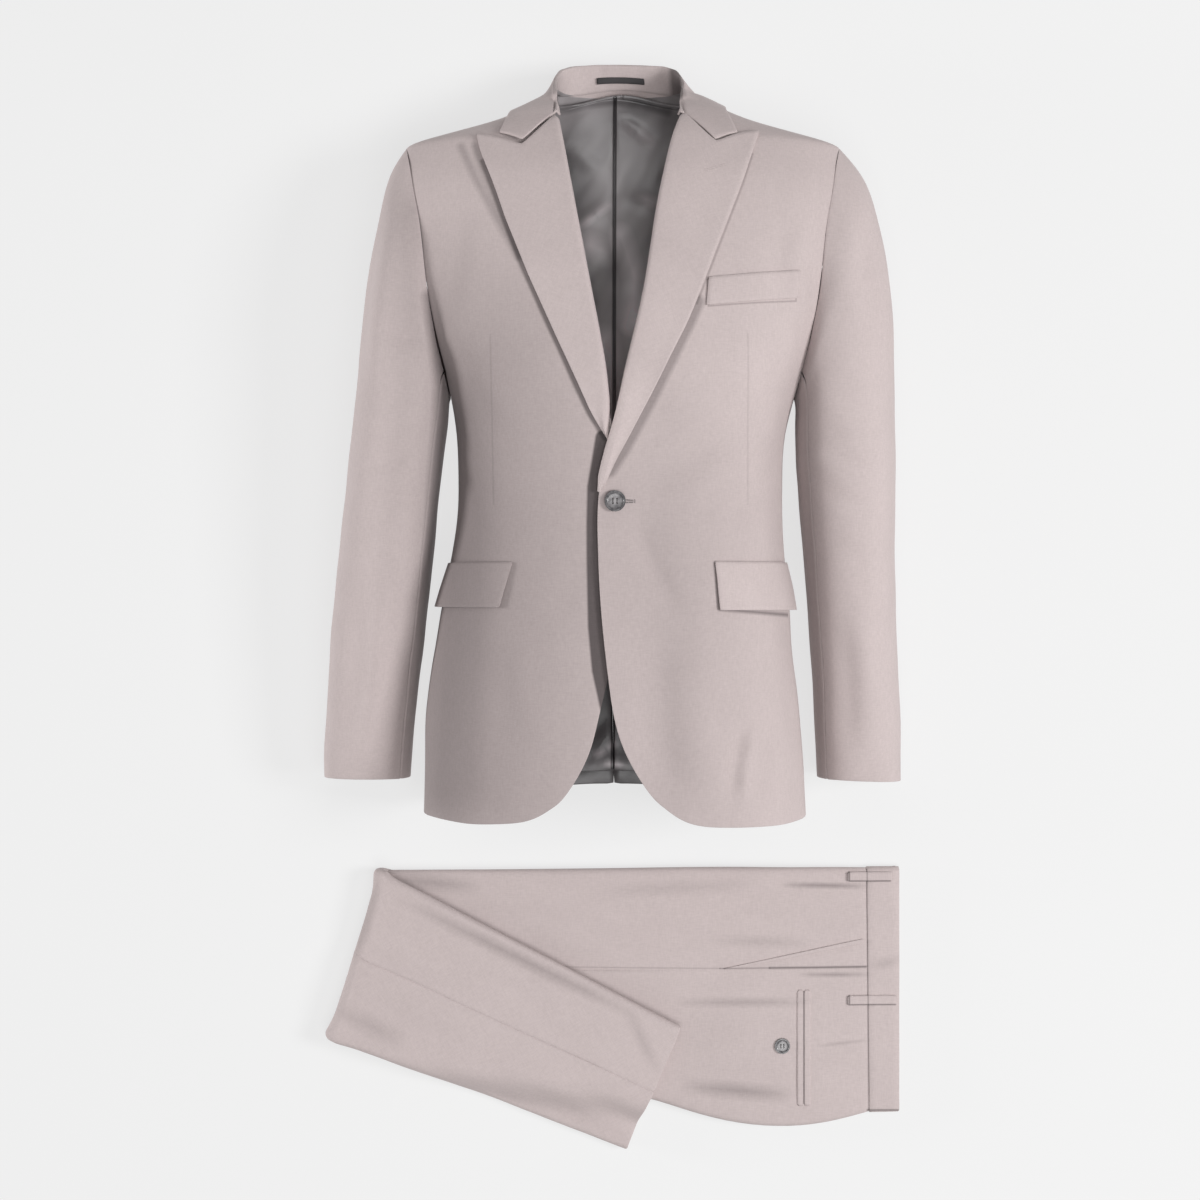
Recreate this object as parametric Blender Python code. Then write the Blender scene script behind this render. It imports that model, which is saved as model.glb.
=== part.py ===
"""A two-piece suit laid on a surface: a jacket on its back, filled out and hollow, and below it folded trousers.

Plan sizes are in millimetres, X to the right, Y up the page and Z up from the surface. Left and right are
the wearer's, so the jacket's left front lies at +X, over the right one.
"""

import math
from typing import NamedTuple

import bmesh
import bpy
import numpy as np
from mathutils import Vector
from mathutils.bvhtree import BVHTree

# Cloth and seams, in millimetres
MM = 0.001
CLOTH = 2.0
SEAM_Q = 0.0009
CURVE_STEPS = 361
NORMAL_STEP = 2.0
NORMAL_STEP_Q = 0.01
LEFT, RIGHT = 1, -1

# The jacket's body: how square its front and back sections are, and where its seams run round it
FRONT_ROUND = 0.82
BACK_ROUND = 0.68
TYPICAL_HALF_WIDTH = 190.0
TYPICAL_DEPTH = 110.0
SIDE_SEAM_FRONT = 0.13
SIDE_SEAM_BACK = -0.24
NECK_POINT_Y = 543.0
BACK_NECK_RISE = 13.0
PANEL_TOP_Y = 536.5
BACK_HEM_SIDE_Y = -228.0
BACK_HEM_MIDDLE_Y = -204.0

# The armhole is an ellipse drawn on the body's side
ARMHOLE_Y = 350.0
ARMHOLE_HALF_HEIGHT = 134.0
ARMHOLE_HALF_DEPTH = 60.0

# The upper front lies over the other one, lifted near its edge
OVERLAP_LIFT = 5.0
LIFT_FROM_X = 45.0
LIFT_FULL_X = -5.0
LIFT_FADES_FROM_Y = 188.0
LIFT_ENDS_Y = 262.0

# Rows and columns of the cloth grids
ROWS_BELOW_ARMHOLE = 10
ROWS_AT_ARMHOLE = 9
ROWS_AT_SHOULDER = 6
FRONT_COLUMNS = 11
SIDE_COLUMNS = 4
BACK_COLUMNS = 8
HEM_STEPS = 40
SIDE_ROWS_AT_Y = (-100.0, 239.0)
EDGE_ROWS_AT_Y = (-92.0, 245.0, 503.0)
BACK_SIDE_ROWS_AT_Y = 278.0
BACK_MIDDLE_ROWS_AT_Y = (290.0, 500.0)


class Level(NamedTuple):
    """The jacket's body at one height up the page."""

    y: float
    half_width: float
    centre_x: float
    side_z: float
    front_z: float
    back_z: float


LEVELS = (
    Level(-240, 206.0, 1.6, 92, 205, 0),
    Level(-160, 203.0, 0.3, 92, 210, 0),
    Level(-107, 199.6, -1.0, 93, 214, 0),
    Level(-43, 190.5, 0.0, 94, 212, 1),
    Level(10, 185.0, 3.0, 95, 207, 3),
    Level(64, 176.0, 5.7, 95, 202, 6),
    Level(107, 174.0, 7.0, 95, 200, 8),
    Level(150, 174.0, 6.6, 96, 206, 7),
    Level(193, 178.0, 9.0, 98, 215, 4),
    Level(235, 190.0, 10.0, 100, 222, 1),
    Level(295, 215.0, 10.0, 102, 218, 0),
    Level(340, 230.0, 10.0, 103, 213, 0),
    Level(380, 240.0, 10.0, 104, 204, 1),
    Level(424, 246.0, 10.0, 105, 194, 3),
    Level(450, 243.0, 10.0, 106, 186, 6),
    Level(470, 236.0, 10.0, 106, 176, 9),
    Level(484, 231.0, 10.0, 106, 169, 12),
    Level(497, 190.0, 10.0, 106, 160, 16),
    Level(509, 148.0, 10.0, 105, 151, 20),
    Level(517, 126.0, 10.0, 104, 145, 23),
    Level(530, 100.0, 10.0, 103, 125, 28),
    Level(543, 76.0, 10.0, 102, 106, 34),
    Level(558, 66.0, 10.0, 100, 103, 43),
)


class Spot(NamedTuple):
    """A point seen from above."""

    x: float
    y: float


LEFT_FRONT_EDGE = (
    Spot(37, -201), Spot(21.6, -179), Spot(7, -144), Spot(-1, -115), Spot(-6, -78), Spot(-14, 0),
    Spot(-16.5, 60), Spot(-16, 108), Spot(-9, 144), Spot(3.9, 189), Spot(13.7, 234), Spot(33.3, 319),
    Spot(50.4, 423), Spot(73.6, 515), Spot(86, 543),
)
LEFT_HEM = (
    Spot(37, -201), Spot(60, -220), Spot(75, -229), Spot(104, -234), Spot(139, -235), Spot(174, -234.6),
    Spot(207, -229.6),
)
RIGHT_FRONT_EDGE = (
    Spot(-51, -204), Spot(-38, -183), Spot(-29, -167), Spot(-19.6, -138), Spot(-15.5, -116),
    Spot(-6, -78), Spot(2, -50), Spot(9, 0), Spot(12, 60), Spot(12, 110), Spot(8, 140), Spot(-5, 182),
    Spot(-12.4, 241), Spot(-30.4, 339), Spot(-49.4, 442), Spot(-62.5, 515), Spot(-66, 543),
)
RIGHT_HEM = (
    Spot(-51, -204), Spot(-67, -216), Spot(-82, -224.6), Spot(-101, -229.6), Spot(-147, -232),
    Spot(-172, -230), Spot(-206, -226),
)
FRONT_EDGES = {LEFT: LEFT_FRONT_EDGE, RIGHT: RIGHT_FRONT_EDGE}
HEMS = {LEFT: LEFT_HEM, RIGHT: RIGHT_HEM}


class Look(NamedTuple):
    """A material's colour, roughness and metallic value."""

    colour: tuple
    roughness: float
    metallic: float = 0.0


CLOTH_LOOK = Look((0.52, 0.45, 0.44), 0.85)
LINING_LOOK = Look((0.16, 0.15, 0.15), 0.40)
BUTTON_LOOK = Look((0.12, 0.11, 0.12), 0.45)


# Sizes of the sleeves
class SleeveRing(NamedTuple):
    """A section of a sleeve: its outer and inner points from above, its middle height and half depths."""

    outer_x: float
    outer_y: float
    inner_x: float
    inner_y: float
    middle_z: float
    front: float
    back: float


LEFT_SLEEVE = (
    SleeveRing(269, 452.5, 195, 212, 104, 66, 66),
    SleeveRing(283.4, 409.4, 196, 203, 103, 68, 68),
    SleeveRing(294, 344.8, 195.5, 187, 101, 69, 70),
    SleeveRing(299.5, 280, 196, 167, 98, 69, 71),
    SleeveRing(301.7, 215.5, 197.2, 142.2, 94, 68, 72),
    SleeveRing(303.3, 150.8, 200.4, 118.5, 90, 66, 74),
    SleeveRing(303.9, 86.4, 203.6, 75.6, 84, 64, 76),
    SleeveRing(304.5, 21.6, 209, 17.3, 77, 61, 75),
    SleeveRing(308, -43.5, 214.5, -43.5, 70, 58, 70),
    SleeveRing(312, -109.3, 218, -107, 62, 54, 62),
    SleeveRing(314.8, -164.5, 222, -161, 54, 50, 54),
    SleeveRing(316, -197, 224.2, -193.7, 47, 45, 47),
)
RIGHT_SLEEVE = (
    SleeveRing(-241.3, 452.5, -176, 212, 104, 66, 66),
    SleeveRing(-251, 409.4, -177, 203, 103, 68, 68),
    SleeveRing(-265, 344.8, -178.5, 187, 101, 69, 70),
    SleeveRing(-271, 280, -181.5, 167, 98, 69, 71),
    SleeveRing(-278, 215.5, -184.8, 140, 94, 68, 72),
    SleeveRing(-285, 150.8, -187.5, 116, 90, 66, 74),
    SleeveRing(-292.7, 86.4, -192.2, 75.6, 84, 64, 76),
    SleeveRing(-300.8, 21.6, -198.7, 19.4, 77, 61, 75),
    SleeveRing(-307, -43.5, -205.7, -43.5, 70, 58, 70),
    SleeveRing(-312.6, -109.3, -214.8, -109.3, 62, 54, 62),
    SleeveRing(-316.4, -164.5, -220.4, -164.5, 54, 50, 54),
    SleeveRing(-317.2, -193, -222.3, -193.7, 47, 45, 47),
)
SLEEVE_ROUND = 0.9
SLEEVE_AROUND = 20
SLEEVE_FRONT_SEAM = 8
SLEEVE_BACK_SEAM = 17
SLEEVE_STANDS_OFF = 1.0
SLEEVE_SEAM_GAP = 0.7
ARMHOLE_SEAM_GAP = 4.0
ARMHOLE_SEAM_RINGS = 2


# Sizes of the collar
class CollarStation(NamedTuple):
    """A section of the collar, from the middle out: the stand's foot, its roll and its leaf's edge."""

    foot_q: float
    roll_out: float
    roll_y: float
    roll_z: float
    leaf_out: float
    leaf_y: float
    leaf_z: float


COLLAR = (
    CollarStation(-1.0, 0, 588, 48, 0, 541, 26),
    CollarStation(-0.82, 27, 587, 50, 25, 540, 27),
    CollarStation(-0.62, 50, 584, 57, 50, 536, 31),
    CollarStation(-0.45, 63, 577, 69, 72, 530, 38),
    CollarStation(-0.3, 68, 567, 84, 90, 526, 52),
    CollarStation(-0.1, 69, 555, 100, 104, 523, 75),
    CollarStation(1.0, 69, 541, 122, 113, 518, 103),
    CollarStation(1.0, 69, 527, 140, 119, 503, 128),
    CollarStation(1.0, 69, 513, 158, 124, 489.4, 150),
)
COLLAR_CENTRE_X = 5.0
STAND_CLEAR = 6.0
ROLL_HALF = 3.6
ROLL_DROP = 3.0
ROLL_HEIGHT = 8.6
LEAF_CLEAR = 4.6
LEAF_FROM_COLUMN = 4
LEAF_STEPS = (0.25, 0.5, 0.75, 1.0)
GORGE_KINK = Spot(105, 479.6)
GORGE_AT = 0.5
GORGE_RISE = 1.5
COLLAR_KEPT_OFF_FROM_Y = 300.0
COLLAR_KEPT_OFF_WITHIN = 40.0
BODY_TREE_ROWS = 60
BODY_TREE_COLUMNS = 61


# Sizes of the lapels
class LapelShape(NamedTuple):
    """A lapel seen from above: where its roll starts and ends, its outer edge, and its top edge to the peak."""

    roll_from_y: float
    roll_to_y: float
    outer_edge: tuple
    top_edge: tuple


LAPELS = {
    LEFT: LapelShape(
        118, 507,
        (Spot(-8, 121), Spot(0.5, 141), Spot(14, 166), Spot(43, 221), Spot(76, 287), Spot(94, 333),
         Spot(109, 373), Spot(130, 426), Spot(144, 467), Spot(152, 490)),
        (Spot(72.5, 507), Spot(105, 476.6), Spot(129, 486.6), Spot(152, 490)),
    ),
    RIGHT: LapelShape(
        190, 504,
        (Spot(-13, 177), Spot(-22, 190), Spot(-55, 261), Spot(-88, 334.5), Spot(-111, 393), Spot(-124, 431),
         Spot(-133, 453), Spot(-141, 475), Spot(-143, 487)),
        (Spot(-61, 504), Spot(-96, 473), Spot(-123, 483.6), Spot(-143, 487)),
    ),
}
LAPEL_ROWS = 21
LAPEL_SHARES = (0.0, 0.24, 0.48, 0.76, 1.0)
LAPEL_EDGE_HEIGHT = 4.2
LAPEL_ROLL_HEIGHT = 6.8
LAPEL_FLATTENS = 1.3
LAPEL_TOP_STEPS = 100
ROLL_FACE = ((-3.6, -1.5), (-3.6, 2.6), (-1.6, 5.4))
ROLL_BACK = ((-1.6, -1.5), (-1.6, 2.0), (-0.4, 3.7))
ROLL_START = 3.0


# Sizes of the pockets, button and lining
class FlapShape(NamedTuple):
    """A hip pocket's flap: its front corners from above, and how far round the side it goes."""

    top_front_x: float
    bottom_front_x: float
    top_y: float
    bottom_y: float
    rear_q: float


FLAPS = {
    LEFT: FlapShape(103.5, 108.7, 39.5, -10.5, -0.06),
    RIGHT: FlapShape(-105.0, -118.0, 39.0, -8.0, -0.06),
}
FLAP_COLUMNS = 9
FLAP_ROWS = 5
FLAP_TOP_HEIGHT = 2.4
FLAP_FRONT_BOTTOM_HEIGHT = 4.4
FLAP_REAR_BOTTOM_HEIGHT = 9.0
WELT_CORNERS = ((Spot(94.5, 302.5), Spot(191, 314)), (Spot(97.0, 331), Spot(191, 342)))
WELT_HEIGHT = 2.4
WELT_COLUMNS = 6
TRIM_CLOTH = 1.8
BUTTON_CENTRE = Spot(1.0, 101.7)
BUTTON_RADIUS = 10.8
BUTTON_STANDS_OFF = 1.2
BUTTON_PROFILE = ((5.4, 1.6), (6.6, 3.4), (9.2, 3.6), (10.8, 2.0), (9.6, 0.0))
BUTTON_AROUND = 24
BUTTON_HOLES = 4
BUTTON_HOLE_SIDES = 8
BUTTON_CUTTER_LENGTH = 8.0
BUTTON_HOLE_RADIUS = 1.0
BUTTON_HOLE_SPACING = 2.2
LINING_CLOTH = 1.0
LINING_DEPTH = CLOTH + 1.1
LINING_FROM_COLUMN = 1
LINING_HEM = 14.0
LINING_NECK = 3.0
LOOP_HALF_LENGTH = 25.0
LOOP_HEIGHT = 6.5
LOOP_COLUMNS = 7
LOOP_AT = 0.42
LOOP_STANDS_OFF = (1.0, 2.6)


# Sizes of the trousers
class StackStation(NamedTuple):
    """A section of the trousers' lower stack: its front crease and its seat edge, and its height."""

    front_x: float
    front_y: float
    seat_x: float
    seat_y: float
    height: float


STACK = (
    StackStation(311.0, -298.0, 311.0, -570.6, 12),
    StackStation(281.9, -298.0, 285.3, -571.0, 13),
    StackStation(240.9, -297.5, 240.9, -581.6, 16),
    StackStation(196.5, -297.5, 196.5, -586.6, 19),
    StackStation(141.0, -297.0, 141.0, -582.8, 21),
    StackStation(85.5, -297.0, 85.5, -569.4, 22),
    StackStation(41.0, -297.5, 41.0, -554.4, 22),
    StackStation(-36.6, -298.6, -42.0, -538.0, 22),
    StackStation(-125.0, -299.7, -147.6, -519.5, 21),
    StackStation(-203.0, -300.0, -247.5, -499.5, 20),
    StackStation(-238.0, -300.5, -295.5, -488.5, 19),
)
SIDE_SEAM_Y = -411.0
FOLD_FRONT = Spot(-262.5, -297.8)
FOLD_BACK = Spot(-319.3, -482.0)
HEM_FRONT = Spot(73.9, -472.0)
HEM_BACK = Spot(13.2, -611.0)
FOLD_RADIUS = 17.0
FOLD_HOLLOW = 1.6
FOLD_TURNS = (-90, -60, -30, 0, 30, 60)
FOLD_RUN = 1 / 6
FOLDED_THICKNESS = 13.0
FOLDED_CLEAR = 1.8
FOLDED_SKIN = (2.0, 3.6)
DRAPE_RUN = 28.0
DRAPE_OVERHANG = 5.0
PLY_LENGTH = 11.0
SKIN_GAP = 0.35
SKIN_CLOTH = 1.8
SKIN = SKIN_GAP + SKIN_CLOTH

# The edge of a stack of layers: how far in from the outline, and how high as a share
STACK_EDGE = (
    (4.0, 0.0), (1.0, 0.10), (0.0, 0.25), (1.2, 0.42), (3.2, 0.50), (1.2, 0.58), (0.2, 0.72), (1.5, 0.88),
    (6.0, 0.97), (18.0, 1.0),
)
EDGE_SKIN_FROM = 5
TOP_SHARES = (0.22, 0.48, 0.74)
BOTTOM_SHARES = (0.15, 0.32, 0.5, 0.68, 0.85)
SEAM_PULL = 0.25
SEAM_COLUMN = len(STACK_EDGE) + len(TOP_SHARES)
TOP_COLUMNS = slice(len(STACK_EDGE) - 1, SEAM_COLUMN + len(TOP_SHARES) + 2)
LAST_SKIN_COLUMN = 2 * SEAM_COLUMN - EDGE_SKIN_FROM
FOLDED_PLACES = (0.0, 0.07, 0.16, 0.27, 0.38, 0.49, 0.60, 0.70, 0.80, 0.90, 1.0)
POCKET_MOUTH_OUTER = Spot(124.0, -409.0)
POCKET_MOUTH_WAIST = Spot(277.0, -377.5)
POCKET_EDGE_OUTER_WIDTH = Spot(4.0, -1.4)
POCKET_EDGE_WAIST_WIDTH = 5.0
TRIM_LOW = 0.4
TRIM_HIGH = 1.9
LOOP_LOW = 1.6
LOOP_HIGH = 3.1
BELT_LOOPS = ((262.0, 310.0, -303.0), (262.0, 315.0, -440.5))
LOOP_WIDTH = 10.0
JET_X = (217.0, 224.6)
JET_WIDTH = 7.0
JET_Y = (-436.0, -560.0)
POCKET_BUTTON = Spot(188.0, -495.5)
POCKET_BUTTON_SCALE = 0.78
POCKET_BUTTON_STANDS_OFF = 0.7
WAISTBAND_LOW = 0.35
WAISTBAND_HIGH = 3.1
WAIST_END_X = 318.4
WAISTBAND_SEAM = 0.8
RIGHT_WAISTBAND_INSET = 2.3
RIGHT_WAISTBAND_SHORTER = 1.0
RIGHT_WAISTBAND_SHARE = 0.28
RIGHT_WAISTBAND_ROWS = 4
HEM_PLIES = (0.0, 0.31, 0.58)
PLY_CLOTH = 2.6
PLY_CLEAR = 0.3
PLY_SEAM = 0.5
PLY_STEP = 0.75


# Curves and grids
def curve_through(places, values):
    """A smooth function through a table's values that doesn't overshoot between them."""
    order = np.argsort(places)
    x = np.asarray(places, float)[order]
    y = np.asarray(values, float)[order]
    step = np.diff(x)
    slope = np.diff(y) / step
    tangent = np.zeros_like(y)
    tangent[0], tangent[-1] = slope[0], slope[-1]
    before, after = slope[:-1], slope[1:]
    same_way = before * after > 0
    safe = np.where(same_way, before + after, 1.0)
    tangent[1:-1] = np.where(same_way, 2 * before * after / safe, 0.0)

    def value(at):
        at = np.clip(np.asarray(at, float), x[0], x[-1])
        i = np.clip(np.searchsorted(x, at) - 1, 0, len(step) - 1)
        t = (at - x[i]) / step[i]
        ends = (1 + 2 * t) * (1 - t) ** 2 * y[i] + t * t * (3 - 2 * t) * y[i + 1]
        bend = t * (1 - t) ** 2 * tangent[i] + t * t * (t - 1) * tangent[i + 1]
        return ends + step[i] * bend

    return value


def smooth_step(share):
    """Eases from 0 to 1 as share goes from 0 to 1."""
    share = np.clip(share, 0, 1)
    return share * share * (3 - 2 * share)


def spread(start, end, steps):
    """Evenly spaced values, the end left out."""
    return np.linspace(start, end, steps, endpoint=False)


def resample(points, count):
    """The same path with count points, evenly spaced along its length."""
    points = np.asarray(points, float)
    length = np.concatenate([[0], np.cumsum(np.linalg.norm(np.diff(points, axis=0), axis=1))])
    at = np.linspace(0, length[-1], count)
    return np.stack([np.interp(at, length, column) for column in points.T], axis=-1)


def fill_borders(bottom, top, left, right):
    """A grid over four border paths: bottom and top run left to right, left and right bottom to top."""
    u = np.linspace(0, 1, len(bottom))[None, :, None]
    v = np.linspace(0, 1, len(left))[:, None, None]
    between_rows = (1 - v) * bottom[None] + v * top[None]
    between_columns = (1 - u) * left[:, None] + u * right[:, None]
    low = (1 - u) * bottom[0] + u * bottom[-1]
    high = (1 - u) * top[0] + u * top[-1]
    return between_rows + between_columns - (1 - v) * low - v * high


def unit(vectors):
    """The vectors at length 1."""
    return vectors / np.linalg.norm(vectors, axis=-1, keepdims=True)


def grid_normals(grid, closed=False):
    """Unit normals of a grid of points, along rows x columns. A closed grid's columns run round."""
    along = np.gradient(grid, axis=0)
    if closed:
        across = np.roll(grid, -1, axis=1) - np.roll(grid, 1, axis=1)
    else:
        across = np.gradient(grid, axis=1)
    return unit(np.cross(along, across))


# Meshes
def add_object(name, points, faces, look, smooth=True):
    """A closed mesh object in metres, faces outward, with its own material."""
    mesh = bpy.data.meshes.new(name)
    mesh.from_pydata((np.asarray(points) * MM).tolist(), [], [tuple(map(int, face)) for face in faces])
    work = bmesh.new()
    work.from_mesh(mesh)
    bmesh.ops.recalc_face_normals(work, faces=work.faces)
    if work.calc_volume(signed=True) < 0:
        bmesh.ops.reverse_faces(work, faces=work.faces)
    work.to_mesh(mesh)
    work.free()
    material = bpy.data.materials.new(name)
    material.use_nodes = True
    surface = material.node_tree.nodes["Principled BSDF"]
    surface.inputs["Base Color"].default_value = (*look.colour, 1.0)
    surface.inputs["Roughness"].default_value = look.roughness
    surface.inputs["Metallic"].default_value = look.metallic
    mesh.materials.append(material)
    if smooth:
        mesh.shade_smooth()
        mesh.set_sharp_from_angle(angle=math.radians(50))
    piece = bpy.data.objects.new(name, mesh)
    bpy.context.collection.objects.link(piece)
    return piece


def cloth_wall(name, outer, inner, look=CLOTH_LOOK):
    """A closed sheet of cloth between two grids of the same shape."""
    rows, columns = outer.shape[:2]
    count = rows * columns
    index = np.arange(count).reshape(rows, columns)
    faces = []
    for i in range(rows - 1):
        for j in range(columns - 1):
            a, b, c, d = index[i, j], index[i, j + 1], index[i + 1, j + 1], index[i + 1, j]
            faces += [(a, b, c), (a, c, d)]
            faces += [(c + count, b + count, a + count), (d + count, c + count, a + count)]
    rim = [*index[0], *index[1:, -1], *index[-1, -2::-1], *index[-2:0:-1, 0]]
    for a, b in zip(rim, rim[1:] + rim[:1]):
        faces.append((b, a, a + count, b + count))
    points = np.concatenate([outer.reshape(-1, 3), inner.reshape(-1, 3)])
    return add_object(name, points, faces, look)


def solid_loft(name, rings, look=CLOTH_LOOK):
    """A closed solid through rings of points, with flat ends."""
    count, around = rings.shape[:2]
    index = np.arange(count * around).reshape(count, around)
    faces = [tuple(reversed(index[0])), tuple(index[-1])]
    for i in range(count - 1):
        for j in range(around):
            a, b = index[i, j], index[i, (j + 1) % around]
            c, d = index[i + 1, (j + 1) % around], index[i + 1, j]
            faces += [(a, b, c), (a, c, d)]
    return add_object(name, rings.reshape(-1, 3), faces, look)


# The jacket's body
def arc_table(roundness):
    """The share of a quarter section's length against the angle turned."""
    turn = np.linspace(0, math.pi / 2, CURVE_STEPS)
    x = TYPICAL_HALF_WIDTH * np.cos(turn) ** roundness
    z = TYPICAL_DEPTH * np.sin(turn) ** roundness
    length = np.concatenate([[0], np.cumsum(np.hypot(np.diff(x), np.diff(z)))])
    return length / length[-1], turn


FRONT_SHARE, FRONT_TURN = arc_table(FRONT_ROUND)
BACK_SHARE, BACK_TURN = arc_table(BACK_ROUND)
HALF_WIDTH = curve_through([row.y for row in LEVELS], [row.half_width for row in LEVELS])
CENTRE_X = curve_through([row.y for row in LEVELS], [row.centre_x for row in LEVELS])
SIDE_Z = curve_through([row.y for row in LEVELS], [row.side_z for row in LEVELS])
FRONT_Z = curve_through([row.y for row in LEVELS], [row.front_z for row in LEVELS])
BACK_Z = curve_through([row.y for row in LEVELS], [row.back_z for row in LEVELS])


def body_points(side, q, y):
    """Points of the body's outer face: q is -1 at the back's middle, 0 at the side and 1 at the front's."""
    q, y = np.broadcast_arrays(np.asarray(q, float), np.asarray(y, float))
    past_middle = q > 1
    reach = np.where(past_middle, 2 - q, q)
    is_front = reach >= 0
    front_turn = np.interp(np.abs(reach), FRONT_SHARE, FRONT_TURN)
    back_turn = np.interp(np.abs(reach), BACK_SHARE, BACK_TURN)
    turn = np.where(is_front, front_turn, back_turn)
    roundness = np.where(is_front, FRONT_ROUND, BACK_ROUND)
    across = np.abs(np.cos(turn)) ** roundness * np.where(past_middle, -side, side)
    depth = np.where(is_front, FRONT_Z(y), BACK_Z(y)) - SIDE_Z(y)
    x = CENTRE_X(y) + HALF_WIDTH(y) * across
    return np.stack([x, y, SIDE_Z(y) + depth * np.sin(turn) ** roundness], axis=-1)


def body_normals(side, q, y):
    """Unit normals of the body's outer face, pointing out."""
    q = np.asarray(q, float)
    y = np.asarray(y, float)
    along = body_points(side, q, y + NORMAL_STEP) - body_points(side, q, y - NORMAL_STEP)
    across = body_points(side, q + NORMAL_STEP_Q, y) - body_points(side, q - NORMAL_STEP_Q, y)
    return unit(side * np.cross(along, across))


def front_q(side, x, y):
    """The place round the section of a point on the front, seen from above."""
    share = side * (np.asarray(x, float) - CENTRE_X(y)) / HALF_WIDTH(y)
    turn = np.arccos(np.clip(np.abs(share), 0, 1) ** (1 / FRONT_ROUND))
    q = np.interp(turn, FRONT_TURN, FRONT_SHARE)
    return np.where(share >= 0, q, 2 - q)


def overlap_lift(side, points):
    """How far the upper front is lifted at these points."""
    if side == RIGHT:
        return np.zeros(points.shape[:-1])
    near_edge = smooth_step((LIFT_FROM_X - points[..., 0]) / (LIFT_FROM_X - LIFT_FULL_X))
    fade = smooth_step((LIFT_ENDS_Y - points[..., 1]) / (LIFT_ENDS_Y - LIFT_FADES_FROM_Y))
    return OVERLAP_LIFT * near_edge * fade


def front_points(side, x, y, height):
    """Points this high over the front's outer face, seen from above at x and y."""
    q = front_q(side, x, y)
    points = body_points(side, q, y)
    lift = overlap_lift(side, points)
    raised = points + body_normals(side, q, y) * np.asarray(height, float)[..., None]
    raised[..., 2] += lift
    return raised


def armhole_q(angle):
    """The armhole's place round the section: angle 0 is the armpit, pi the shoulder, below 0 behind."""
    y = ARMHOLE_Y - ARMHOLE_HALF_HEIGHT * np.cos(angle)
    z = ARMHOLE_HALF_DEPTH * np.abs(np.sin(angle))
    front = (z / (FRONT_Z(y) - SIDE_Z(y))) ** (1 / FRONT_ROUND)
    back = (z / (SIDE_Z(y) - BACK_Z(y))) ** (1 / BACK_ROUND)
    front_share = np.interp(np.arcsin(np.clip(front, 0, 1)), FRONT_TURN, FRONT_SHARE)
    back_share = np.interp(np.arcsin(np.clip(back, 0, 1)), BACK_TURN, BACK_SHARE)
    return np.where(np.sin(angle) >= 0, front_share, -back_share), y


def armhole_angle_at(q):
    """The angle at which a side seam meets the armhole."""
    angles = np.linspace(0, math.pi / 2, CURVE_STEPS) * (1 if q > 0 else -1)
    places, _ = armhole_q(angles)
    return float(np.interp(abs(q), np.abs(places), angles * np.sign(q))) * (1 if q > 0 else -1)


def side_border(seam_q, hem_y):
    """Rows of (q, y) up a side seam, round the armhole and along the shoulder seam."""
    start = armhole_angle_at(seam_q)
    top = math.pi if seam_q > 0 else -math.pi
    angles = spread(start, top, ROWS_AT_ARMHOLE)
    hole_q, hole_y = armhole_q(angles)
    seam_y = spread(hem_y, hole_y[0], ROWS_BELOW_ARMHOLE)
    shoulder_y = np.linspace(ARMHOLE_Y + ARMHOLE_HALF_HEIGHT, PANEL_TOP_Y, ROWS_AT_SHOULDER + 1)
    inset = math.copysign(SEAM_Q, seam_q)
    q = np.concatenate([np.full(len(seam_y), seam_q + inset), hole_q, np.full(len(shoulder_y), inset)])
    q[len(seam_y)] += inset
    return np.stack([q, np.concatenate([seam_y, hole_y, shoulder_y])], axis=-1)


def body_wall(name, side, places, look=CLOTH_LOOK, depth=0.0, thickness=CLOTH):
    """A panel of the body from its grid of (q, y), this deep under the body's outer face."""
    q, y = places[..., 0], places[..., 1]
    points = body_points(side, q, y)
    normals = body_normals(side, q, y)
    outer = points - normals * depth
    inner = points - normals * (depth + thickness)
    if name.startswith("front"):
        lift = overlap_lift(side, points)
        outer[..., 2] += lift
        inner[..., 2] += lift
    return cloth_wall(name, outer, inner, look)


def front_panel_grid(side):
    """The (q, y) grid of a front, from its side to its front edge."""
    edge_x = curve_through([spot.y for spot in FRONT_EDGES[side]], [spot.x for spot in FRONT_EDGES[side]])
    hem_y = curve_through([spot.x for spot in HEMS[side]], [spot.y for spot in HEMS[side]])
    corner = FRONT_EDGES[side][0]
    side_x = body_points(side, SIDE_SEAM_FRONT + SEAM_Q, BACK_HEM_SIDE_Y)[0]
    side_y = float(hem_y(side_x))
    outer = side_border(SIDE_SEAM_FRONT, side_y)
    rows = (side_y, *SIDE_ROWS_AT_Y, ARMHOLE_Y + ARMHOLE_HALF_HEIGHT, PANEL_TOP_Y)
    edge_y = np.interp(outer[:, 1], rows, (corner.y, *EDGE_ROWS_AT_Y, PANEL_TOP_Y))
    x = edge_x(edge_y)
    edge = np.stack([front_q(side, x, edge_y), edge_y], axis=-1)
    hem_x = np.linspace(side_x, corner.x, HEM_STEPS)
    hem_path = resample(np.stack([hem_x, hem_y(hem_x)], axis=-1), FRONT_COLUMNS)
    hem = np.stack([front_q(side, hem_path[:, 0], hem_path[:, 1]), hem_path[:, 1]], axis=-1)
    hem[0] = outer[0]
    top = np.linspace(outer[-1], edge[-1], FRONT_COLUMNS)
    return fill_borders(hem, top, outer, edge)


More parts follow.
